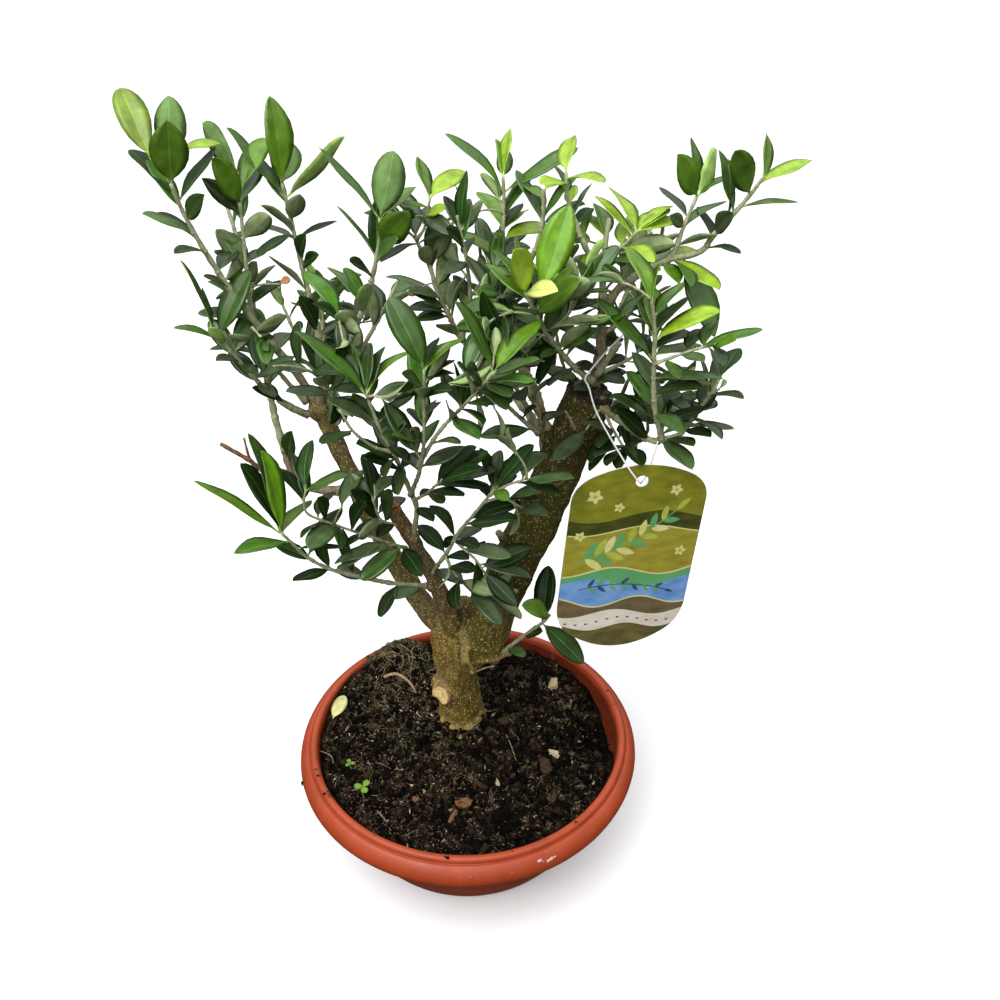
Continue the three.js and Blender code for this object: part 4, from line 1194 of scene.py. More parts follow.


# ------------------------------------------------------------------ leaves

# Upper faces by tone, from old and dark to the palest new growth; each in three shades. The last tone, a matt olive, is
# set lighter for leaves turned from the light: painted light.
UPPER = [(42, 64, 22), (66, 100, 36), (63, 104, 20), (90, 130, 20), (144, 178, 38), (204, 216, 116), (206, 146, 104), (80, 114, 22)]
UNDER = [(130, 146, 102), (146, 164, 114), (144, 172, 104), (158, 190, 100), (168, 196, 90), (198, 212, 134), (190, 140, 100), (96, 128, 66)]
RIBS = [tuple(0.72 * a + 0.28 * b for a, b in zip(up, (170, 186, 110))) for up in UPPER]
GLOSS = [0.28, 0.28, 0.30, 0.36, 0.40, 0.46, 0.7, 0.42]
SHADES = (0.80, 1.0, 1.22)
TONES = ["deep", "dark", "mid", "fresh", "young", "pale", "dry", "matt"]
leaf_mats = []
for t, label in enumerate(TONES):
    mats = [leaf_finish("leaf_%s_%d" % (label, k), shade(UPPER[t], s), GLOSS[t], 0.6) for k, s in enumerate(SHADES)]
    if t < 2:
        # Some old leaves are near black, others have a greyish painted sheen.
        mats[0] = leaf_finish("leaf_%s_black" % label, ((22, 46, 8), (34, 64, 15))[t], 0.42, 0.22)
        mats[2] = leaf_finish("leaf_%s_bloom" % label, tuple(0.66 * c + 0.34 * g for c, g in zip(UPPER[t], (92, 100, 88))), 0.36, 0.6)
    mats.append(leaf_finish("leaf_%s_under" % label, UNDER[t], 0.68, 0.3, 0.12))
    mats.append(leaf_finish("leaf_%s_rib" % label, RIBS[t], 0.5, 0.4))
    mats.append(leaf_finish("leaf_%s_keel" % label, shade(UNDER[t], 1.16), 0.6, 0.3))
    leaf_mats.append(mats)

# Half widths from foot to tip: a short stalk, then a blade that is elliptic in some leaves and lance-shaped in others.
ROW_S = np.array([0, 0.05, 0.10, 0.18, 0.29, 0.42, 0.56, 0.70, 0.82, 0.91, 0.965, 1.0])
ROUND_H = np.array([0.060, 0.060, 0.17, 0.46, 0.75, 0.94, 1.0, 0.96, 0.82, 0.60, 0.37, 0.03])
SLIM_H = np.array([0.060, 0.060, 0.15, 0.43, 0.73, 0.94, 0.99, 0.87, 0.62, 0.36, 0.17, 0.015])
COL_W = np.array([-1.0, -0.52, -0.032, 0.032, 0.52, 1.0])
NR, NC = len(ROW_S), len(COL_W)


def leaf_faces():
    def low(r, c):
        return r * NC + c if c in (0, NC - 1) else NR * NC + r * (NC - 2) + c - 1
    quads, kinds, tris, tri_kinds = [], [], [], []
    for r in range(NR - 1):
        for c in range(NC - 1):
            rib = c == 2 or r < 2
            quads.append((r * NC + c, (r + 1) * NC + c, (r + 1) * NC + c + 1, r * NC + c + 1))
            kinds.append(2 if rib else 0)
            quads.append((low(r, c), low(r, c + 1), low(r + 1, c + 1), low(r + 1, c)))
            kinds.append(3 if rib else 1)
    for r, flip in ((0, False), (NR - 1, True)):
        for c in range(NC - 1):
            a, b, d, e = r * NC + c, r * NC + c + 1, low(r, c + 1), low(r, c)
            face = [a, b, d, e]
            face = [v for n, v in enumerate(face) if v not in face[:n]]
            if flip:
                face = face[::-1]
            if len(face) == 4:
                quads.append(tuple(face))
                kinds.append(2)
            elif len(face) == 3:
                tris.append(tuple(face))
                tri_kinds.append(2)
    # Faces are listed so that the upper side's normal points along +N.
    return np.array(quads)[:, ::-1], np.array(kinds), np.array(tris)[:, ::-1], np.array(tri_kinds)


LEAF_Q, LEAF_QK, LEAF_T, LEAF_TK = leaf_faces()
LEAVES = []          # (tone, shade, base, chord direction, upper normal, length, width, fold, curl, twist, sway, phase, slimness)
LEAF_MIDS = []


def add_leaf(tone, base, chord, normal, length, width, rng, fold=None, curl=None, own=None):
    d = unit(chord)
    n = unit(normal - d * float(np.dot(normal, d)))
    fold = rng.uniform(0.10, 0.42) if fold is None else fold
    curl = rng.normal(0.34, 0.24) if curl is None else curl
    pick = int(rng.integers(0, 3))
    twist, sway, phase, slim = float(rng.normal(0, 0.16)), float(rng.normal(0, 0.03)), float(rng.uniform(0, 6.28)), float(rng.uniform(0, 1) ** 1.6)
    # Low old leaves take the near black shade more often and high ones less often: painted shade under the crown.
    if tone < 2 and ((pick == 2 and phase > 3.4) or (pick == 1 and base[2] < 240 and phase > 2.6)):
        pick = 0
    elif tone < 2 and pick == 0 and base[2] > 300 and phase > 2.2:
        pick = 1
    LEAVES.append((int(np.clip(tone, 0, 7)), pick if own is None else own, np.asarray(base, float), d, n, float(length), float(width), float(fold), float(curl), twist, sway, phase, slim))
    LEAF_MIDS.append(np.asarray(base, float) + d * length * 0.55)


def leaf_mesh(items):
    """All vertices of the given leaves, as one array."""
    g = lambda k: np.array([it[k] for it in items])
    B, D, N = g(2), g(3), g(4)
    L, W, fold, curl, twist, sway, phase, slim = [g(k)[:, None, None] for k in range(5, 13)]
    S = np.cross(N, D)
    s, w = ROW_S[None, :, None], COL_W[None, None, :]
    h = ROUND_H[None, :, None] * (1 - slim) + SLIM_H[None, :, None] * slim
    curl = np.where(np.abs(curl) < 1e-3, 1e-3, curl)
    half = h * W / 2
    y = w * half * np.cos(fold)
    zt = np.abs(w) * half * np.sin(fold) - 0.16 * half * np.sin(fold) * w ** 2
    zt = zt + 0.05 * W * np.sin(7.0 * s + phase) * np.abs(w) * h
    zt = np.where(np.abs(w) < 0.1, zt - 0.10, zt)
    body = np.where(np.abs(w) < 0.1, 0.62 - 0.22 * s, 0.40)
    body = np.where(s < 0.07, 0.8, body) * np.where(s > 0.95, 0.5, 1.0)
    zb = zt - body
    y = y + sway * L * s ** 2
    out = []
    for z in (zt, zb[:, :, 1:-1]):
        yy = y if z is zt else y[:, :, 1:-1]
        ct, st = np.cos(twist * s), np.sin(twist * s)
        y2, z2 = yy * ct - z * st, yy * st + z * ct
        cx, cz = np.sin(curl * s) / curl, -(1 - np.cos(curl * s)) / curl
        full = np.sqrt((np.sin(curl) / curl) ** 2 + ((1 - np.cos(curl)) / curl) ** 2)
        k = L / full
        px_ = cx * k + np.sin(curl * s) * z2
        pz_ = cz * k + np.cos(curl * s) * z2
        ca, sa = np.cos(curl / 2), np.sin(curl / 2)
        x3, z3 = px_ * ca - pz_ * sa, px_ * sa + pz_ * ca
        p = B[:, None, None, :] + x3[..., None] * D[:, None, None, :] + y2[..., None] * S[:, None, None, :] + z3[..., None] * N[:, None, None, :]
        out.append(p.reshape(len(items), -1, 3))
    return np.concatenate(out, axis=1)


# ------------------------------------------------------------------ shoots

STEMS = []           # (points, radii, kind)
STEM_PTS, STEM_DIRS = [], []
SHOOT_LINES = {}


def add_stem(line, r0, r1, kind, collar=0.6):
    STEMS.append((line, taper(line, r0, r1, collar), kind))
    t = np.gradient(line, axis=0)
    t /= np.maximum(1e-9, np.linalg.norm(t, axis=1))[:, None]
    for p, d in zip(line, t):
        STEM_PTS.append(p)
        STEM_DIRS.append(d)


def leafy(line, rng, start, gap, size, tones, share, bounded=True, slack=7.0, tip_pair=True, lift=0.55):
    """Leaves in opposite pairs along a stem, each pair crossed to the last, closing up and paling to the tip."""
    s = lengths(line)
    total = s[-1]
    t, u, w = frames(line)
    phase = rng.uniform(0, math.pi)
    a, k = start * total + rng.uniform(0, 0.3) * gap, 0
    stops = []
    while a < total - 0.35 * gap:
        stops.append(a)
        a += gap * rng.uniform(0.8, 1.2) * (1.0 - 0.25 * a / total)
    if tip_pair:
        stops += [total - 0.5, total]
    for k, a in enumerate(stops):
        f = (a / total - start) / max(1e-6, 1 - start)
        i = int(np.clip(np.searchsorted(s, a), 0, len(line) - 1))
        last = tip_pair and k >= len(stops) - 2
        for side in (0, 1):
            if not last and rng.uniform() > share:
                continue
            turn = phase + k * math.pi / 2 + side * math.pi + rng.normal(0, 0.2)
            out = u[i] * math.cos(turn) + w[i] * math.sin(turn)
            opening = math.radians((62 - 30 * f ** 1.4 if not last else (24 if k == len(stops) - 2 else 12)) + rng.normal(0, 8))
            d = t[i] * math.cos(opening) + out * math.sin(opening)
            d = unit(d + UP * (0.10 - 0.22 * (1 - f)) + rng.normal(0, 0.06, 3))
            n = t[i] * math.sin(opening) - out * math.cos(opening) + UP * lift
            long = size * (0.80 + 0.26 * math.sin(math.pi * min(1.0, 0.15 + 0.75 * f))) * rng.uniform(0.82, 1.12)
            if last:
                long *= 0.92 if k == len(stops) - 2 else 0.7
            tone = tones[0] + (tones[1] - tones[0]) * f ** 1.6 + rng.normal(0, 0.42)
            tip = line[i] + d * long
            if bounded and outside(tip, slack):
                continue
            if hits_solid(line[i], tip):
                continue
            if covers(line[i], tip):
                continue
            add_leaf(round(tone), line[i], d, n, long, long * rng.uniform(0.34, 0.44), rng)


PLACED_UV, PLACED_DEPTH, PLACED_CLEAR = [], [], []


# Gaps in the crown that the sky shows through, as boxes in the picture.
OPEN = np.array([(196, 494, 246, 548), (255, 558, 290, 584), (442, 482, 486, 532), (612, 150, 690, 200), (576, 136, 606, 166), (722, 382, 760, 424), (198, 196, 218, 240), (318, 236, 338, 276), (376, 276, 400, 345), (278, 398, 300, 422), (344, 424, 374, 442), (458, 420, 478, 440), (244, 552, 300, 584), (240, 520, 272, 536), (480, 612, 512, 646), (728, 352, 766, 380), (304, 186, 330, 228), (398, 238, 418, 260), (378, 258, 402, 300), (514, 116, 546, 164)])


def covers(base, tip):
    """True if a leaf from base to tip would hide, in the picture, a leaf that has its own place or close a gap."""
    for s in (0.55, 0.95):
        u, v = seen(base * (1 - s) + tip * s)
        if np.any((OPEN[:, 0] < u) & (u < OPEN[:, 2]) & (OPEN[:, 1] < v) & (v < OPEN[:, 3])):
            return True
    if not PLACED_UV:
        return False
    uv, far, clear = np.array(PLACED_UV), np.array(PLACED_DEPTH), np.array(PLACED_CLEAR)
    for s in (0.3, 0.6, 0.9):
        p = base * (1 - s) + tip * s
        u, v = seen(p)
        if np.any((np.hypot(uv[:, 0] - u, uv[:, 1] - v) < clear) & (far > float(np.linalg.norm(p - CAM)) - 3.0)):
            return True
    return False


# Shoots that show: bends as (across, down, depth), radii, first leaf, leaf gap, leaf length, tones, share of leaves.
SHOOTS = [
    ("a", [(318, 408, 38), (300, 378, 40), (272, 344, 36), (246, 310, 30), (226, 284, 26), (208, 256, 22), (198, 240, 20), (182, 210, 16), (171, 184, 12)], (2.6, 0.9), 0.34, 17, 28, (0.8, 2.0), 0.55),
    ("b", [(346, 491, 33), (318, 489, 32), (297, 482, 30), (288, 462, 29), (277, 425, 30), (271, 398, 32), (262, 352, 34), (252, 318, 36), (246, 264, 40), (240, 203, 44)], (2.7, 0.8), 0.42, 17, 26, (0.5, 1.7), 0.55),
    ("c", [(322, 412, 38), (322, 372, 46), (318, 332, 52), (309, 295, 56), (300, 258, 58), (291, 220, 58), (282, 184, 58)], (2.4, 0.9), 0.30, 16, 27, (0.4, 1.8), 0.55),
    ("d", [(318, 408, 38), (330, 374, 30), (346, 348, 22), (364, 307, 14), (371, 284, 10), (379, 244, 6), (380, 218, 4)], (2.3, 0.9), 0.30, 15, 27, (0.4, 1.8), 0.55),
    ("d_left", [(350, 341, 20), (346, 328, 17), (340, 316, 13)], (0.9, 0.6), 0.5, 9, 22, (0.4, 1.2), 0.0),
    ("side_left", [(318, 414, 37), (300, 411, 34), (269, 392, 28), (239, 361, 20), (213, 330, 14)], (1.9, 0.8), 0.28, 14, 25, (0.4, 1.5), 0.45),
    ("side_twig", [(306, 402, 36), (283, 377, 30), (270, 358, 27), (253, 331, 23)], (1.5, 0.9), 0.4, 13, 24, (0.4, 1.4), 0.5),
    ("r_up", [(592, 392, 16), (600, 350, 18), (602, 310, 20), (604, 258, 24), (609, 219, 28)], (3.0, 1.2), 0.52, 15, 26, (1.2, 3.2), 0.6),
    ("r_fork", [(601, 275, 23), (585, 247, 24), (577, 226, 26), (568, 200, 27), (566, 172, 28)], (1.7, 0.8), 0.30, 10, 27, (2.2, 3.8), 0.75),
    ("r_bright", [(606, 258, 24), (622, 247, 20), (637, 231, 18)], (1.2, 0.7), 0.40, 9, 26, (2.8, 4.0), 0.8),
    ("f", [(603, 312, 20), (618, 290, 22), (642, 272, 26), (668, 260, 28), (701, 251, 26), (712, 237, 24), (731, 217, 22), (750, 195, 20), (763, 178, 18)], (2.4, 0.8), 0.30, 13, 28, (1.0, 2.8), 0.6),
    ("f_high", [(666, 261, 28), (675, 249, 30), (684, 226, 33), (697, 196, 36)], (1.4, 0.8), 0.25, 12, 27, (0.9, 2.2), 0.6),
    ("h", [(593, 382, 10), (574, 367, 4), (558, 349, -4), (542, 326, -14), (526, 293, -24)], (1.9, 0.8), 0.35, 12, 28, (1.0, 3.2), 0.65),
    ("g", [(600, 405, 8), (625, 424, -4), (645, 438, -14), (661, 440, -20), (657, 420, -23), (654, 400, -25), (654, 360, -28), (655, 336, -30), (653, 312, -32), (651, 300, -33)], (2.1, 0.8), 0.48, 11, 28, (0.6, 2.6), 0.75),
    ("g_arm", [(654, 364, -28), (676, 356, -30), (697, 349, -32), (714, 345, -33)], (0.9, 0.6), 0.3, 11, 26, (0.6, 2.0), 0.5),
    ("g_right", [(661, 440, -20), (682, 433, -20), (694, 416, -18), (712, 392, -16), (720, 378, -14)], (1.3, 0.7), 0.15, 10, 25, (0.2, 1.2), 0.85),
    ("g_low", [(604, 408, 6), (610, 424, 0), (618, 438, -6), (624, 448, -10)], (1.0, 0.6), 0.3, 9, 22, (0.0, 0.6), 0.8),
    ("limb_leaf", [(602, 404, 8), (594, 418, 0), (586, 430, -3)], (0.9, 0.6), 0.4, 9, 20, (0.0, 0.5), 0.4),
    ("limb_twig", [(574, 427, 4), (569, 417, 0), (565, 411, -4)], (0.9, 0.6), 0.4, 9, 20, (0.0, 0.6), 0.5),
    ("e", [(546, 438, 16), (520, 404, 22), (488, 366, 30), (462, 340, 36), (451, 320, 38), (436, 288, 41), (431, 270, 42), (415, 238, 44)], (2.2, 0.9), 0.30, 12, 26, (0.2, 1.4), 0.75),
    ("e_young", [(416, 240, 44), (424, 229, 43), (427, 215, 43), (430, 198, 42)], (0.9, 0.6), 0.30, 8, 21, (2.8, 4.0), 0.7),
    ("e_inner", [(462, 340, 36), (470, 300, 32), (466, 258, 30), (460, 230, 30), (457, 216, 30)], (1.4, 0.7), 0.30, 12, 26, (0.4, 1.5), 0.7),
    ("grey", [(478, 369, 30), (487, 337, 30), (493, 293, 32)], (1.4, 0.8), 0.25, 12, 26, (0.4, 1.5), 0.75),
    ("top", [(549, 432, 20), (530, 392, 34), (514, 345, 48), (506, 290, 56), (503, 240, 60), (504, 198, 62), (503, 178, 62)], (2.4, 0.8), 0.33, 12, 27, (0.7, 3.2), 0.6),
    ("top_cut", [(507, 300, 55), (530, 262, 50), (542, 226, 46), (544, 190, 44)], (1.5, 1.1), 0.30, 11, 24, (1.4, 3.8), 0.65),
    ("low_left", [(430, 586, 3), (398, 584, -8), (365, 578, -20), (330, 569, -32), (307, 557, -38), (290, 541, -44), (281, 533, -46)], (1.6, 0.8), 0.25, 12, 26, (0.4, 1.6), 0.7),
    ("k", [(432, 572, -2), (446, 554, -14), (457, 535, -22), (475, 513, -30), (494, 490, -37)], (1.4, 0.7), 0.25, 11, 25, (0.0, 0.9), 0.85),
    ("k_in", [(484, 502, -34), (503, 498, -34), (522, 508, -32)], (0.8, 0.6), 0.3, 9, 22, (0.0, 0.7), 0.6),
    ("k_out", [(490, 495, -36), (508, 485, -40), (526, 479, -42)], (0.8, 0.6), 0.3, 9, 24, (0.0, 0.9), 0.6),
    ("k_low", [(455, 540, -21), (464, 549, -22), (476, 560, -25), (484, 572, -27)], (0.9, 0.6), 0.15, 9, 24, (0.0, 0.8), 0.85),
    ("k_hang", [(446, 556, -14), (452, 570, -18), (462, 582, -21), (470, 590, -22)], (0.9, 0.6), 0.2, 9, 23, (0.0, 0.8), 0.85),
    ("m", [(413, 537, -8), (417, 510, -16), (411, 493, -20), (403, 474, -24), (394, 454, -29), (382, 433, -33), (366, 394, -37)], (1.6, 0.8), 0.22, 11, 25, (0.2, 1.4), 0.75),
    ("ml", [(418, 552, -4), (405, 548, -12), (394, 544, -18)], (0.9, 0.6), 0.4, 9, 22, (0.2, 1.0), 0.4),
    ("fl", [(405, 528, -10), (393, 524, -16), (380, 519, -22), (373, 500, -26)], (0.9, 0.6), 0.3, 9, 22, (0.0, 0.9), 0.6),
    ("n_up", [(411, 494, -20), (420, 470, -36), (424, 440, -46), (424, 405, -52), (424, 370, -56)], (1.2, 0.7), 0.22, 11, 26, (0.2, 2.0), 0.8),
    ("n_mid", [(415, 500, -18), (427, 493, -26), (438, 483, -32)], (0.9, 0.6), 0.3, 9, 22, (0.0, 1.0), 0.5),
    ("n_side", [(418, 466, -36), (439, 432, -46), (467, 402, -54), (494, 372, -60)], (1.2, 0.7), 0.22, 11, 26, (0.2, 2.0), 0.8),
    ("m_left", [(392, 452, -29), (372, 446, -34), (352, 430, -38), (340, 410, -40)], (1.0, 0.6), 0.20, 10, 24, (0.1, 1.0), 0.8),
    ("low_two", [(406, 548, -11), (384, 541, -18), (359, 533, -24), (330, 523, -30), (308, 514, -35), (304, 502, -37), (306, 490, -38)], (0.9, 0.6), 0.3, 10, 23, (0.0, 0.9), 0.35),
    ("r_in1", [(600, 352, 18), (586, 342, 24), (572, 328, 30), (560, 308, 36)], (1.1, 0.6), 0.15, 8, 25, (0.0, 0.8), 1.0),
    ("r_in2", [(602, 334, 19), (616, 326, 26), (630, 314, 34), (640, 298, 40)], (1.1, 0.6), 0.15, 8, 25, (0.0, 0.8), 1.0),
    ("r_in3", [(603, 372, 17), (620, 364, 22), (636, 354, 28), (648, 338, 34)], (1.1, 0.6), 0.15, 8, 25, (0.0, 0.7), 1.0),
    ("r_in4", [(590, 388, 20), (574, 378, 28), (556, 368, 34), (542, 352, 40)], (1.1, 0.6), 0.15, 8, 25, (0.0, 0.7), 1.0),
    ("r_in5", [(606, 398, 12), (622, 404, 6), (634, 404, 0), (640, 396, -6)], (1.0, 0.6), 0.15, 8, 24, (0.0, 0.6), 1.0),
    ("r_in6", [(604, 312, 20), (592, 304, 26), (580, 292, 32)], (1.0, 0.6), 0.2, 8, 24, (0.2, 1.2), 1.0),
    ("collar_a", [(540, 428, 14), (522, 398, 6), (508, 374, 0), (500, 350, -4)], (1.5, 0.7), 0.30, 11, 25, (0.2, 1.2), 0.85),
    ("collar_b", [(538, 433, 13), (516, 414, 4), (498, 396, -4), (478, 378, -10)], (1.4, 0.7), 0.20, 11, 25, (0.1, 1.2), 0.85),
    ("sucker", [(503, 652, 8), (522, 637, 0), (542, 623, -10), (550, 615, -13)], (1.4, 0.8), 0.40, 9, 28, (1.2, 2.0), 0.0),
]

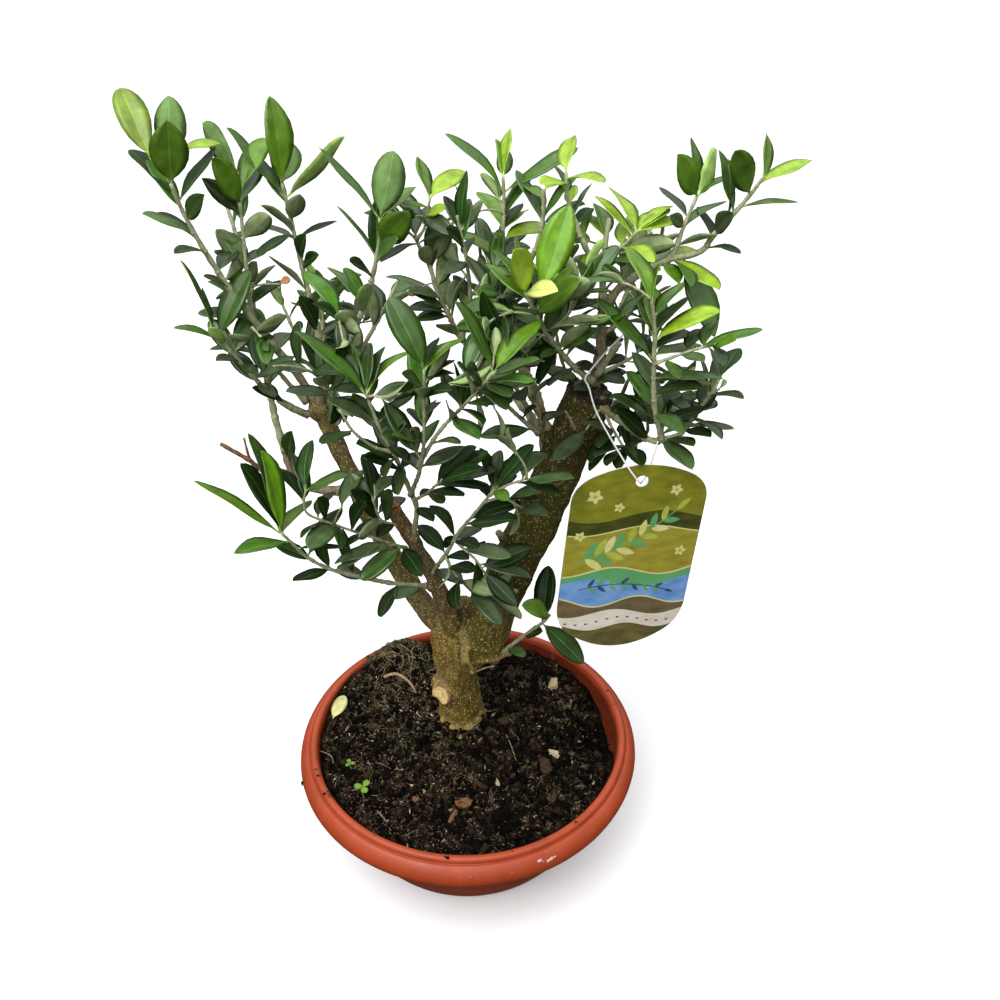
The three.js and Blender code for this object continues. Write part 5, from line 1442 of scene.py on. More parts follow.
# Leaves that have their own place on a shoot: foot and tip in the picture, width across, side shown, tone, and lean to (-1) or from (1) the camera; 2 and -2 hold whatever the tone.
PLACED = {
    "a": [(150, 158, 121, 88, 29, "U", 4, -1), (172, 160, 167, 96, 30, "L", 7, 1), (171, 184, 167, 120, 36, "U", 7, -2), (189, 219, 205, 196, 18, "U", 0, -2), (172, 198, 128, 150, 15, "U", 1, 1), (182, 200, 216, 147, 12, "U", 1, 1),
          (184, 150, 218, 142, 8, "U", 4, 1), (198, 238, 158, 212, 8, "U", 0, 1), (206, 250, 172, 252, 6, "U", 0, -1),
          (224, 282, 247, 258, 13, "L", 1, 1), (218, 272, 235, 250, 16, "U", 0, 1), (226, 288, 205, 278, 5, "U", 0, -1)],
    "b": [(280, 284, 289, 277, 8, "U", 6, -1), (288, 463, 292, 431, 15, "U", 1, -1), (238, 172, 203, 122, 20, "L", 7, 1), (241, 200, 213, 157, 24, "U", 7, -2), (240, 214, 201, 180, 17, "U", 0, -1), (241, 190, 267, 138, 21, "U", 3, 1), (246, 238, 268, 214, 20, "L", 1, -1), (240, 268, 226, 231, 17, "U", 1, 1), (240, 205, 262, 165, 16, "U", 1, 1),
          (250, 306, 283, 280, 14, "U", 1, 1), (247, 283, 257, 262, 12, "L", 0, 1), (247, 264, 268, 250, 9, "U", 0, 1)],
    "c": [(281, 182, 270, 96, 26, "U", 3, 1), (283, 182, 288, 141, 30, "U", 7, 1), (290, 194, 344, 136, 14, "L", 3, 1), (282, 196, 226, 128, 15, "U", 2, -1), (290, 218, 300, 194, 18, "L", 0, -1),
          (297, 240, 337, 221, 6, "U", 0, -1), (300, 258, 305, 233, 14, "U", 1, -1), (301, 266, 319, 254, 10, "U", 1, -1), (291, 240, 260, 223, 6, "U", 0, 1), (284, 236, 258, 256, 9, "U", 1, -1),
          (318, 332, 299, 296, 14, "U", 1, -1), (321, 375, 300, 340, 15, "U", 0, -1)],
    "d": [(379, 218, 397, 152, 33, "L", 7, 1), (379, 242, 409, 212, 30, "U", 7, -2), (379, 216, 320, 147, 6, "U", 2, 1), (381, 214, 414, 187, 12, "U", 3, 1), (373, 258, 337, 206, 3, "U", 1, 1),
          (377, 262, 398, 238, 15, "U", 1, -1), (372, 276, 350, 262, 10, "U", 0, -1),
          (364, 305, 327, 267, 8, "U", 1, 1), (364, 303, 343, 268, 15, "U", 2, -1), (362, 314, 367, 283, 17, "L", 2, -1), (359, 322, 336, 314, 14, "L", 1, -1)],
    "e": [(416, 240, 428, 206, 13, "U", 0, 1), (419, 290, 408, 294, 8, "U", 6, -1), (444, 312, 405, 308, 12, "U", 0, -1), (448, 318, 416, 322, 12, "U", 0, -1), (436, 290, 457, 244, 19, "L", 1, 1), (434, 298, 385, 277, 9, "U", 1, 1), (440, 300, 408, 292, 10, "U", 1, -1), (431, 268, 436, 220, 15, "U", 0, 1), (430, 268, 424, 246, 15, "L", 0, -1),
          (420, 240, 380, 262, 7, "U", 0, -1), (422, 238, 462, 230, 7, "U", 1, -1),
          (444, 310, 412, 293, 11, "U", 1, -1)],
    "e_young": [(430, 196, 417, 156, 12, "U", 3, 1), (431, 198, 464, 171, 19, "U", 4, 1), (427, 214, 446, 208, 10, "U", 4, -1), (428, 205, 400, 203, 6, "U", 3, -1)],
    "e_inner": [(460, 232, 446, 196, 13, "U", 0, 1), (463, 245, 446, 231, 12, "U", 0, -1), (470, 300, 455, 275, 13, "U", 0, 1), (466, 262, 444, 272, 12, "U", 0, -1), (466, 256, 472, 238, 10, "U", 0, 1), (461, 228, 467, 170, 14, "U", 1, 1), (459, 226, 456, 186, 9, "U", 2, 1), (461, 230, 483, 203, 12, "L", 1, 1), (464, 250, 490, 292, 14, "U", 0, -1)],
    "top": [(503, 232, 520, 204, 13, "U", 1, 1), (504, 250, 525, 234, 12, "U", 0, 1), (503, 178, 510, 129, 12, "U", 4, 1), (503, 178, 498, 140, 13, "U", 3, -1), (502, 190, 446, 132, 8, "U", 2, 1), (505, 194, 578, 148, 8, "U", 2, 1), (503, 230, 479, 192, 20, "U", 3, -1),
            (505, 230, 528, 210, 10, "U", 4, 1), (505, 240, 550, 228, 13, "U", 4, -1), (504, 260, 451, 234, 10, "U", 3, 1)],
    "top_cut": [(543, 222, 516, 170, 11, "U", 1, 1), (544, 192, 566, 183, 8, "U", 4, -1), (544, 200, 522, 186, 8, "U", 3, -1)],
    "h": [(558, 350, 540, 384, 13, "U", 0, -1), (541, 292, 567, 205, 36, "U", 3, 1), (530, 289, 558, 291, 15, "U", 5, -1), (536, 312, 580, 279, 27, "U", 7, -2), (530, 304, 486, 264, 14, "U", 3, -1), (524, 288, 516, 247, 24, "U", 4, -2), (526, 292, 495, 250, 13, "U", 2, 1),
          (526, 290, 516, 235, 9, "U", 3, 1), (548, 334, 560, 302, 14, "U", 1, -1), (560, 352, 598, 330, 11, "U", 1, -1),
          (558, 349, 593, 323, 15, "L", 1, -1), (566, 358, 604, 324, 8, "U", 1, 1), (557, 348, 540, 358, 9, "U", 2, -1), (573, 368, 549, 386, 12, "U", 0, -1)],
    "r_fork": [(577, 226, 591, 208, 12, "U", 1, 1), (584, 244, 588, 214, 13, "U", 3, 1), (568, 196, 556, 166, 9, "U", 2, 1), (566, 172, 570, 138, 19, "U", 4, -1), (566, 178, 606, 182, 10, "U", 4, 1), (568, 184, 540, 184, 8, "U", 4, 1), (570, 206, 574, 185, 12, "U", 4, -1), (574, 218, 591, 184, 5, "U", 1, 1),
               (586, 246, 577, 226, 8, "U", 4, -1)],
    "r_up": [(603, 312, 580, 300, 13, "U", 0, 1), (599, 356, 574, 346, 13, "U", 0, -1), (600, 366, 577, 369, 13, "U", 0, -1), (602, 372, 625, 356, 13, "U", 0, 1), (602, 352, 622, 338, 12, "U", 0, 1), (600, 378, 623, 384, 14, "U", 0, -1), (598, 384, 573, 388, 13, "U", 0, -1), (604, 388, 628, 372, 13, "U", 0, 1), (604, 340, 585, 329, 12, "U", 0, 1), (606, 238, 584, 212, 12, "U", 4, 1), (606, 240, 596, 204, 16, "U", 3, -1), (603, 262, 640, 262, 10, "U", 2, -1), (602, 300, 560, 312, 12, "U", 1, -1)],
    "r_bright": [(622, 246, 630, 217, 15, "U", 4, 1), (638, 230, 681, 223, 14, "U", 4, -1), (637, 228, 668, 208, 16, "U", 4, 1), (636, 228, 673, 206, 9, "U", 4, 1), (634, 230, 609, 187, 13, "U", 4, 1),
                 (630, 236, 596, 196, 8, "U", 4, -1), (624, 246, 655, 262, 14, "U", 4, -1)],
    "f": [(664, 262, 678, 284, 12, "U", 3, -1), (676, 262, 694, 288, 12, "U", 2, -1), (763, 178, 765, 130, 10, "U", 3, 1), (760, 184, 810, 160, 12, "U", 4, -1), (750, 196, 736, 150, 24, "U", 7, -2), (733, 214, 719, 150, 12, "U", 1, 1), (740, 207, 798, 202, 5, "U", 1, -1),
          (716, 234, 732, 210, 15, "U", 0, -1), (712, 236, 699, 207, 11, "U", 0, 1), (704, 250, 742, 253, 3, "U", 0, -1), (668, 260, 701, 252, 15, "U", 4, -1), (672, 262, 719, 290, 16, "U", 4, -1),
          (684, 262, 717, 336, 26, "U", 2, -1)],
    "f_high": [(697, 196, 675, 158, 25, "U", 7, -2), (697, 196, 691, 137, 11, "U", 2, 1), (698, 194, 718, 154, 16, "L", 3, 1), (697, 196, 728, 176, 6, "U", 2, 1), (686, 218, 660, 187, 8, "U", 0, 1),
               (685, 226, 670, 214, 12, "U", 1, -1), (687, 228, 725, 201, 9, "U", 1, 1)],
    "g": [(654, 330, 686, 297, 14, "U", 0, 1), (654, 350, 689, 331, 13, "U", 0, 1), (654, 362, 634, 333, 13, "U", 0, 1), (652, 316, 684, 282, 13, "U", 1, 1), (656, 336, 650, 284, 25, "U", 3, 1), (652, 302, 626, 246, 15, "U", 3, 1), (652, 304, 661, 262, 12, "U", 3, 1), (656, 340, 720, 310, 14, "U", 4, -1), (653, 358, 595, 297, 14, "U", 2, -1), (654, 340, 626, 289, 8, "U", 3, 1), (656, 352, 699, 344, 13, "U", 3, -1), (654, 340, 672, 304, 10, "U", 4, 1), (655, 380, 723, 379, 12, "U", 1, -1), (652, 392, 632, 352, 15, "U", 1, 1), (654, 421, 611, 396, 11, "U", 0, -1), (654, 412, 632, 395, 14, "U", 0, 1), (650, 436, 615, 410, 18, "U", 0, -1), (656, 412, 681, 434, 17, "U", 1, -1), (660, 420, 657, 380, 13, "U", 1, 1), (660, 424, 706, 408, 12, "U", 0, -1), (655, 393, 701, 389, 12, "U", 0, -1)],
    "g_right": [(696, 414, 716, 400, 15, "U", 0, 1), (711, 396, 746, 398, 8, "U", 0, -1), (686, 430, 711, 437, 11, "U", 0, -1), (696, 420, 721, 439, 10, "U", 0, -1), (666, 440, 694, 446, 11, "U", 0, -1), (663, 442, 694, 469, 17, "U", 1, -1), (719, 380, 739, 348, 17, "U", 1, 1), (719, 379, 708, 346, 6, "U", 0, 1), (692, 418, 672, 398, 12, "U", 0, 1)],
    "n_up": [(424, 384, 452, 360, 13, "U", 0, 1), (424, 430, 432, 402, 12, "U", 0, 1), (418, 472, 402, 452, 13, "U", 0, 1), (424, 380, 452, 372, 13, "U", 0, 1), (424, 396, 450, 392, 13, "U", 0, -1), (424, 368, 438, 338, 13, "U", 0, 1), (424, 418, 438, 402, 12, "U", 0, 1), (424, 428, 410, 408, 12, "U", 0, 1), (424, 370, 390, 297, 28, "U", 2, 1), (425, 370, 462, 338, 11, "U", 3, -1), (425, 382, 451, 344, 14, "L", 1, 1), (424, 386, 402, 374, 13, "U", 0, -1),
          (424, 446, 437, 420, 12, "U", 2, 1)],
    "n_side": [(478, 390, 507, 410, 13, "U", 0, -1), (486, 382, 512, 396, 12, "U", 0, -1), (462, 406, 440, 372, 14, "U", 0, 1), (466, 402, 500, 404, 13, "U", 0, -1), (492, 372, 454, 302, 14, "U", 2, 1), (494, 372, 536, 320, 22, "U", 3, -1), (484, 384, 528, 363, 11, "U", 0, -1), (490, 376, 540, 357, 7, "U", 1, -1), (482, 386, 466, 370, 12, "U", 0, -1),
          (452, 416, 478, 440, 14, "U", 1, -1), (432, 442, 458, 444, 9, "U", 1, -1)],
    "m": [(368, 398, 386, 346, 14, "U", 0, 1), (366, 393, 371, 343, 13, "U", 0, 1), (400, 468, 424, 452, 13, "U", 0, 1), (403, 476, 380, 492, 13, "U", 0, -1), (394, 456, 384, 478, 12, "U", 0, -1), (388, 444, 408, 462, 12, "U", 0, -1), (396, 461, 355, 441, 12, "U", 1, -1), (400, 470, 363, 455, 12, "U", 0, -1), (366, 393, 295, 331, 20, "U", 2, 1), (366, 393, 418, 350, 8, "U", 3, 1), (370, 403, 360, 353, 19, "U", 1, 1), (376, 423, 328, 397, 12, "U", 0, -1), (398, 462, 400, 494, 14, "U", 0, -1), (365, 393, 328, 390, 12, "U", 0, 1), (378, 424, 413, 393, 14, "U", 1, 1)],
    "low_left": [(280, 530, 241, 463, 16, "U", 0, 1), (281, 533, 194, 480, 12, "U", 3, -1), (288, 541, 232, 550, 12, "U", 2, -1), (281, 532, 264, 450, 21, "U", 3, 1), (283, 534, 249, 433, 18, "U", 1, 1), (282, 533, 312, 500, 12, "U", 7, 1),
                 (306, 556, 342, 508, 17, "U", 0, 1), (296, 546, 346, 547, 6, "U", 0, -1), (330, 569, 293, 581, 13, "U", 0, -1), (336, 570, 380, 545, 14, "U", 1, 1),
          (421, 588, 397, 600, 14, "U", 1, -1), (399, 586, 382, 617, 14, "U", 0, -1)],
    "k": [(494, 488, 500, 450, 14, "U", 0, 1), (492, 490, 481, 448, 13, "U", 0, 1), (490, 495, 513, 475, 12, "U", 0, 1), (490, 492, 486, 462, 13, "U", 0, 1), (486, 498, 478, 480, 12, "U", 0, 1), (496, 484, 534, 445, 18, "U", 1, 1), (494, 487, 509, 458, 14, "U", 1, 1), (496, 487, 509, 499, 12, "U", 3, -1), (468, 525, 517, 520, 16, "U", 1, -1), (462, 543, 481, 527, 11, "U", 0, 1), (455, 545, 444, 539, 15, "U", 0, -1), (446, 554, 417, 526, 16, "U", 0, 1), (437, 570, 461, 585, 15, "U", 0, -1)],
    "k_low": [(457, 536, 477, 549, 13, "U", 0, -1), (464, 549, 510, 558, 15, "U", 1, -1), (483, 566, 531, 547, 22, "U", 0, 1), (476, 568, 531, 579, 16, "U", 0, -1), (485, 573, 517, 606, 20, "U", 0, -1)],
    "k_hang": [(450, 566, 474, 572, 13, "U", 0, -1), (447, 558, 468, 560, 12, "U", 0, -1), (470, 589, 501, 624, 19, "U", 0, -1), (458, 582, 457, 609, 12, "U", 0, -1)],
    "sucker": [(550, 615, 522, 607, 19, "U", 3, -2), (541, 623, 551, 566, 22, "U", 0, 1), (542, 624, 584, 663, 22, "U", 1, -1), (524, 636, 543, 630, 10, "U", 1, -1), (508, 648, 524, 657, 10, "U", 1, -1)],
    "k_in": [(508, 494, 546, 489, 10, "U", 1, -1), (510, 501, 538, 498, 10, "U", 0, 1), (522, 509, 548, 515, 15, "U", 0, -1)],
    "k_out": [(523, 478, 545, 453, 18, "U", 1, 1), (527, 481, 574, 478, 16, "U", 1, -1), (520, 484, 562, 494, 10, "U", 0, -1)],
    "m_left": [(352, 430, 322, 444, 13, "U", 0, -1)],
    "n_mid": [(432, 490, 464, 496, 12, "U", 0, -1), (436, 484, 476, 446, 14, "U", 0, 1), (438, 484, 498, 471, 13, "U", 0, -1), (438, 485, 482, 468, 15, "U", 1, -1), (438, 482, 490, 455, 14, "U", 1, 1), (438, 486, 488, 488, 11, "U", 0, -1), (430, 492, 442, 504, 10, "U", 0, -1), (419, 498, 433, 490, 9, "U", 0, 1)],
    "collar_b": [(530, 432, 480, 437, 16, "U", 0, -1)],
    "low_two": [(304, 500, 298, 460, 13, "U", 0, 1), (338, 524, 306, 547, 20, "U", 1, -1), (306, 490, 310, 441, 18, "U", 1, 1), (307, 489, 348, 476, 11, "U", 1, -1), (341, 508, 363, 470, 13, "U", 1, 1), (338, 524, 341, 549, 12, "U", 0, -1),
                (304, 500, 282, 470, 13, "U", 0, 1), (316, 517, 333, 492, 13, "U", 0, 1), (350, 531, 366, 502, 13, "U", 0, -1), (325, 521, 318, 496, 10, "U", 1, -1), (306, 492, 292, 452, 13, "U", 0, 1)],
    "ml": [(394, 543, 334, 564, 15, "U", 1, -1), (403, 548, 361, 580, 20, "U", 1, -1), (402, 550, 423, 576, 20, "U", 0, -1)],
    "fl": [(393, 524, 378, 538, 12, "U", 0, -1), (377, 517, 352, 472, 20, "U", 1, 1), (373, 500, 365, 454, 15, "U", 0, 1), (386, 521, 392, 490, 13, "U", 0, -1), (380, 512, 404, 497, 13, "U", 0, 1), (378, 519, 350, 491, 17, "U", 0, -1), (384, 520, 358, 539, 12, "L", 1, -1), (373, 500, 380, 474, 11, "L", 0, 1)],
    "limb_leaf": [(586, 431, 554, 460, 19, "U", 0, -1)],
    "limb_twig": [(565, 411, 543, 422, 11, "U", 0, -1)],
    "g_low": [(624, 448, 646, 436, 13, "U", 0, 1), (618, 438, 641, 423, 13, "U", 0, 1), (612, 436, 590, 471, 14, "U", 0, -1), (612, 436, 588, 462, 15, "U", 0, -1), (620, 446, 642, 466, 13, "U", 0, -1), (607, 428, 597, 448, 13, "U", 0, -1), (624, 448, 621, 470, 13, "U", 0, -1), (614, 432, 587, 423, 13, "U", 0, -1), (622, 446, 636, 457, 13, "U", 0, -1), (622, 446, 596, 457, 12, "U", 0, -1), (624, 448, 607, 466, 12, "U", 0, -1)],
    "g_arm": [(704, 348, 716, 322, 12, "U", 1, 1), (714, 345, 724, 366, 12, "U", 0, -1), (698, 349, 763, 330, 8, "U", 2, -1), (714, 345, 736, 340, 11, "U", 3, 1), (680, 355, 706, 361, 8, "U", 1, -1), (686, 352, 703, 329, 14, "U", 0, 1), (669, 358, 679, 378, 13, "U", 1, -1)],
    "side_left": [(258, 380, 277, 397, 12, "U", 0, -1), (219, 336, 252, 271, 25, "U", 2, 1), (214, 331, 180, 260, 6, "U", 2, -1), (213, 330, 202, 287, 4, "U", 1, 1), (234, 354, 256, 310, 22, "U", 1, 1), (226, 345, 210, 327, 11, "L", 3, -1), (238, 360, 216, 361, 7, "U", 0, -1), (255, 378, 291, 360, 12, "U", 1, -1), (266, 390, 292, 356, 14, "U", 1, 1), (288, 404, 252, 388, 6, "U", 0, -1), (242, 363, 256, 376, 12, "U", 0, -1)],
    "side_twig": [(257, 338, 228, 335, 6, "L", 1, -1), (254, 332, 287, 317, 14, "L", 0, 1), (270, 358, 292, 333, 14, "U", 1, 1)],
    "d_left": [(340, 316, 306, 271, 19, "U", 2, 1), (345, 330, 313, 303, 9, "U", 1, -1), (341, 318, 361, 329, 14, "L", 0, -1)],
}

LEAF_REAL = [27, 29, 32, 36, 34, 28, 8, 33]     # usual leaf length by tone
# Leaves lighter (2) or darker (0) than others of their tone, by tip: partly their own colour, partly painted light and
# painted shade for how their light falls.
SHADE = {(121, 88): 0, (306, 547): 2, (567, 205): 2, (675, 158): 2, (213, 157): 2, (252, 271): 0, (390, 297): 0, (454, 302): 0, (306, 271): 2, (479, 192): 2, (558, 291): 2, (264, 450): 2, (554, 460): 2, (517, 606): 0,
         (531, 579): 2, (501, 624): 2, (531, 547): 0, (510, 558): 2, (545, 453): 2, (584, 663): 0, (543, 630): 0, (524, 657): 1}
rng_place = dice("placed")


def put_leaf(line, foot, tip, wide, side, tone, lean):
    """A leaf that shows from foot to tip in the picture and grows from the given stem."""
    u, v = seen(line)
    k = int(np.argmin((u - foot[0]) ** 2 + (v - foot[1]) ** 2))
    base = line[k]
    if math.hypot(u[k] - foot[0], v[k] - foot[1]) > 13:
        start, base = base, at(foot[0], foot[1], base[1])
        mid = (start + base) / 2 + UP * 1.0
        STEMS.append((curve([start, mid, base], 2.0), None, "young"))
    # Bright leaves turn their upper face to the light.
    rise = foot[1] - tip[1]
    if abs(lean) == 2:
        lean //= 2
    elif side == "U" and tone >= 3:
        lean = 1 if rise > 6 else -1
    elif side == "U" and tone == 2 and lean * rise < 0:
        lean = 0
    d = ray(*tip)
    d = d / np.linalg.norm(d)
    q = base - CAM
    close = float(q @ d)
    gap2 = float(q @ q) - close ** 2
    real = LEAF_REAL[tone] * rng_place.uniform(0.94, 1.08)
    if lean and gap2 < real ** 2:
        # No steeper than about 50 degrees to the picture plane.
        reach = min(math.sqrt(real ** 2 - gap2), 1.2 * math.sqrt(gap2) + 4)
        end = CAM + d * (close + lean * reach)
    else:
        end = CAM + d * close
    long = float(np.linalg.norm(end - base))
    chord = (end - base) / long
    mid = (base + end) / 2
    face = unit(CAM - mid)
    face = unit(face - chord * float(face @ chord))
    cross = np.cross(chord, face)
    scale = float(np.linalg.norm(mid - CAM)) / FOCAL
    apparent = wide * scale
    true = max(apparent, min(0.42 * long, apparent * 2.2), 0.27 * long)
    true = min(true, 0.60 * long) if long > 24 else true
    tilt = math.acos(min(1.0, apparent / true))
    options = [face * math.cos(tilt) + cross * math.sin(tilt), face * math.cos(tilt) - cross * math.sin(tilt)]
    if side == "L":
        options = [-o for o in options]
    n = max(options, key=lambda o: o[2])
    for s in (0.25, 0.55, 0.85):
        p = base * (1 - s) + end * s
        PLACED_UV.append(seen(p))
        PLACED_DEPTH.append(float(np.linalg.norm(p - CAM)))
        PLACED_CLEAR.append(min(12.0, 4.5 + 0.32 * wide) if tone >= 2 else 5.0)
    add_leaf(tone, base, chord, n, long, true, rng_place, fold=rng_place.uniform(0.12, 0.34) if tilt < 1.0 else 0.2, curl=rng_place.normal(0.3, 0.18) * (-1 if side == "L" else 1),
             own=SHADE.get(tip, 1 if tone >= 2 else None))


for name, bends, radii, start, gap, size, tones, share in SHOOTS:
    line = curve([at(*b) for b in bends], 2.5)
    SHOOT_LINES[name] = line
    add_stem(line, radii[0], radii[1], "old" if radii[0] > 1.8 else "young")
for name, items in PLACED.items():
    for u0, v0, u1, v1, wide, side, tone, lean in items:
        put_leaf(SHOOT_LINES[name], (u0, v0), (u1, v1), wide, side, tone, lean)
for name, bends, radii, start, gap, size, tones, share in SHOOTS:
    if share > 0:
        leafy(SHOOT_LINES[name], dice("shoot_" + name), start, gap, size, tones, share, slack=24.0 if name.startswith("r_in") else 9.0, tip_pair=not PLACED.get(name))

# Bare wood: cut stubs, short dead twigs and the dead twig on the left.
for bends, radii in [([(593, 380, 14), (606, 361, 12), (619, 343, 10)], (1.9, 1.7)), ([(541, 424, 12), (539, 408, 10)], (1.5, 1.3)), ([(475, 672, 4), (485, 668, 2), (494, 666, 0)], (0.7, 0.5)),
                     ([(503, 538, 4), (497, 531, 0)], (2.0, 1.7)), ([(308, 417, 36), (291, 410, 32), (277, 401, 29)], (1.0, 0.7)), ([(602, 262, 24), (590, 252, 22)], (1.2, 1.0))]:
    add_stem(curve([at(*b) for b in bends], 2.0), radii[0], radii[1], "old", 0.4)
for bends, radii in [([(292, 474, 29), (276, 470, 25), (262, 470, 22), (249, 460, 18), (235, 452, 15), (221, 444, 12)], (1.7, 1.2)), ([(250, 461, 18), (247, 450, 16), (244, 438, 15)], (0.9, 0.6))]:
    add_stem(curve([at(*b) for b in bends], 2.0), radii[0], radii[1], "dead", 0.3)

# Boughs at the back, out of the camera's sight.
BACK = [[(-73, 36, 268), (-80, 56, 287), (-83, 72, 305), (-86, 96, 326), (-87, 112, 338)], [(-80, 58, 289), (-62, 76, 310), (-46, 92, 334), (-38, 100, 348)], [(46, 14, 268), (44, 42, 294), (32, 60, 314), (20, 92, 340), (12, 114, 358)],
        [(69, 17, 304), (78, 40, 328), (88, 58, 343), (100, 86, 360), (108, 106, 372)], [(-112, 37, 340), (-116, 56, 362), (-126, 76, 386), (-131, 86, 397)], [(-82, 70, 303), (-100, 84, 318), (-108, 94, 330)], [(36, 56, 308), (48, 80, 330), (52, 96, 346)]]
for k, pts in enumerate(BACK):
    line = curve(pts, 2.5)
    add_stem(line, 2.6 if k in (0, 2, 3) else 1.6, 0.9, "old" if k in (0, 2, 3) else "young")
    leafy(line, dice("back_%d" % k), 0.3, 12, 28, (0.6, 2.0), 0.9, slack=8.0)

# Side twigs fill each mass: every open spot in it draws a twig from the nearest stem, with its own leaves.
SPACING = {"foliage_left_tip": 30, "foliage_left_rear": 28, "foliage_left_top": 31, "foliage_left_side": 25, "foliage_left_inner": 20, "foliage_centre_left": 26, "foliage_right_tip": 24,
           "foliage_right_high": 18, "foliage_right_top": 11.5, "foliage_right_side": 12, "foliage_right_low": 13, "foliage_right_under": 10.5, "foliage_top_centre": 15, "foliage_base": 400,
           "foliage_low_left": 18, "foliage_low_centre": 10, "foliage_right_front": 11.5, "foliage_centre": 12, "foliage_front": 12, "foliage_front_left": 12, "foliage_inner_right": 10}
BRIGHT = {"foliage_right_top": 1.2, "foliage_top_centre": 0.9, "foliage_right_front": 0.9, "foliage_right_high": 0.4, "foliage_right_tip": 0.5, "foliage_low_centre": -0.4, "foliage_right_under": -0.4,
          "foliage_right_low": -0.3, "foliage_inner_right": -0.2}
rng = dice("filler")
for name in MASS_NAMES:
    tree, lo, hi = MASSES[name]
    gap = SPACING.get(name, 16)
    bright = BRIGHT.get(name, 0.0)
    goals = []
    for _ in range(4000):
        p = rng.uniform(lo, hi)
        if depth_in(tree, p) < -3.0 and all(np.linalg.norm(p - g) > gap * 0.9 for g in goals):
            goals.append(p)
    pts = np.array(STEM_PTS)
    goals.sort(key=lambda g: float(np.min(np.linalg.norm(pts - g, axis=1))))
    for g in goals:
        mids = np.array(LEAF_MIDS)
        if float(np.min(np.linalg.norm(mids - g, axis=1))) < gap * 0.62:
            continue
        pts = np.array(STEM_PTS)
        dist = np.linalg.norm(pts - g, axis=1) + 0.35 * np.maximum(0, pts[:, 2] - g[2] + 4)
        k = int(np.argmin(dist))
        foot = pts[k]
        r = float(np.linalg.norm(g - foot))
        if r < 5 or r > 75:
            continue
        # One even bend: out along the parent stem, then up to the open spot.
        way = unit(g - foot)
        knee = foot + unit(0.8 * STEM_DIRS[k] + way + 0.1 * UP) * r * 0.5
        end = g + unit(way + 0.5 * UP) * 3.0
        t_ = np.linspace(0, 1, max(6, int(r / 2.5)))[:, None]
        line = (1 - t_) ** 2 * foot + 2 * t_ * (1 - t_) * knee + t_ ** 2 * end
        if any(hits_solid(line[i], line[i + 1]) for i in range(3, len(line) - 1, 2)):
            continue
        marks = len(LEAVES), len(STEMS), len(STEM_PTS)
        add_stem(line, min(1.1, 0.6 + 0.010 * r), 0.5, "young", 0.3)
        leafy(line, rng, max(0.10, 1 - 36 / max(36.0, r)), 9.0, 25, (0.1 + bright * 0.8, 1.2 + bright * 1.4), 0.85, slack=6.0)
        if len(LEAVES) - marks[0] < 3:
            del LEAVES[marks[0]:], LEAF_MIDS[marks[0]:], STEMS[marks[1]:], STEM_PTS[marks[2]:], STEM_DIRS[marks[2]:]

# ------------------------------------------------------------------ twig and leaf meshes

def twig_finish(name, dark, mid, pale, rough=0.7):
    f = Finish(name, rough, 0.35)
    n = f.noise(1.0, 4.0, 0.65, vec=f.stretch((420.0, 420.0, 160.0)))
    tone = f.ramp(n, [(0.28, srgb(*dark)), (0.52, srgb(*mid)), (0.75, srgb(*pale))])
    dots = f.grey(f.cells(650.0), 0.13, 0.22, 0.7, 0.0)
    tone = f.mix(dots, tone, srgb(*shade(pale, 1.12)))
    f.base(tone)
    f.normal(f.bump(f.math("ADD", n, f.math("MULTIPLY", dots, 0.6)), 0.45, 0.0006))
    return f.mat


twig_mats = {"old": twig_finish("twig_grey_brown", (96, 86, 60), (142, 130, 98), (178, 168, 136)),
             "young": twig_finish("twig_grey_green", (118, 124, 86), (160, 164, 126), (194, 196, 162)),
             "dead": twig_finish("twig_dead_brown", (92, 64, 42), (138, 102, 70), (176, 140, 104), 0.85)}
BOUGHS = sorted(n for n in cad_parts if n.startswith("bough_") or n == "shoot_base")
for kind, label, slot, nodes in [("old", "twigs_old", "twig", BOUGHS), ("young", "twigs_young", "twig", ()), ("dead", "twigs_dead", "dead_wood", ("twig_dead",))]:
    pile = Pile()
    for n_, (line, radii, k_) in enumerate(STEMS):
        radii = np.full(len(line), 0.5) if radii is None else radii
        if k_ == "old":
            # The outer, thinner length of an old stem has young bark.
            turn = int(np.argmax(radii < 2.2)) if np.any(radii < 2.2) and radii[0] > 2.25 else len(line)
            if kind == "old":
                line, radii = line[:turn + 2], radii[:turn + 2]
            elif kind == "young" and turn < len(line) - 3:
                line, radii = line[turn:], radii[turn:]
            else:
                continue
        elif k_ != kind:
            continue
        if len(line) < 3:
            continue
        wob = radii * (1 + 0.10 * np.sin(np.arange(len(line)) * 1.7 + n_))
        big = radii.max() > 1.9
        pile.add(*tube(line, wob, 12 if big else 7, 0.22 if big else 0.0, n_ * 3.3))
        if kind == "young":
            # Swollen nodes.
            for i in range(4, len(line) - 2, 5):
                pile.add(ICO_V * radii[i] * 1.35 + line[i], None, ICO_F)
    if pile.n:
        pile.make(label, [twig_mats[kind]], True, slot, nodes)

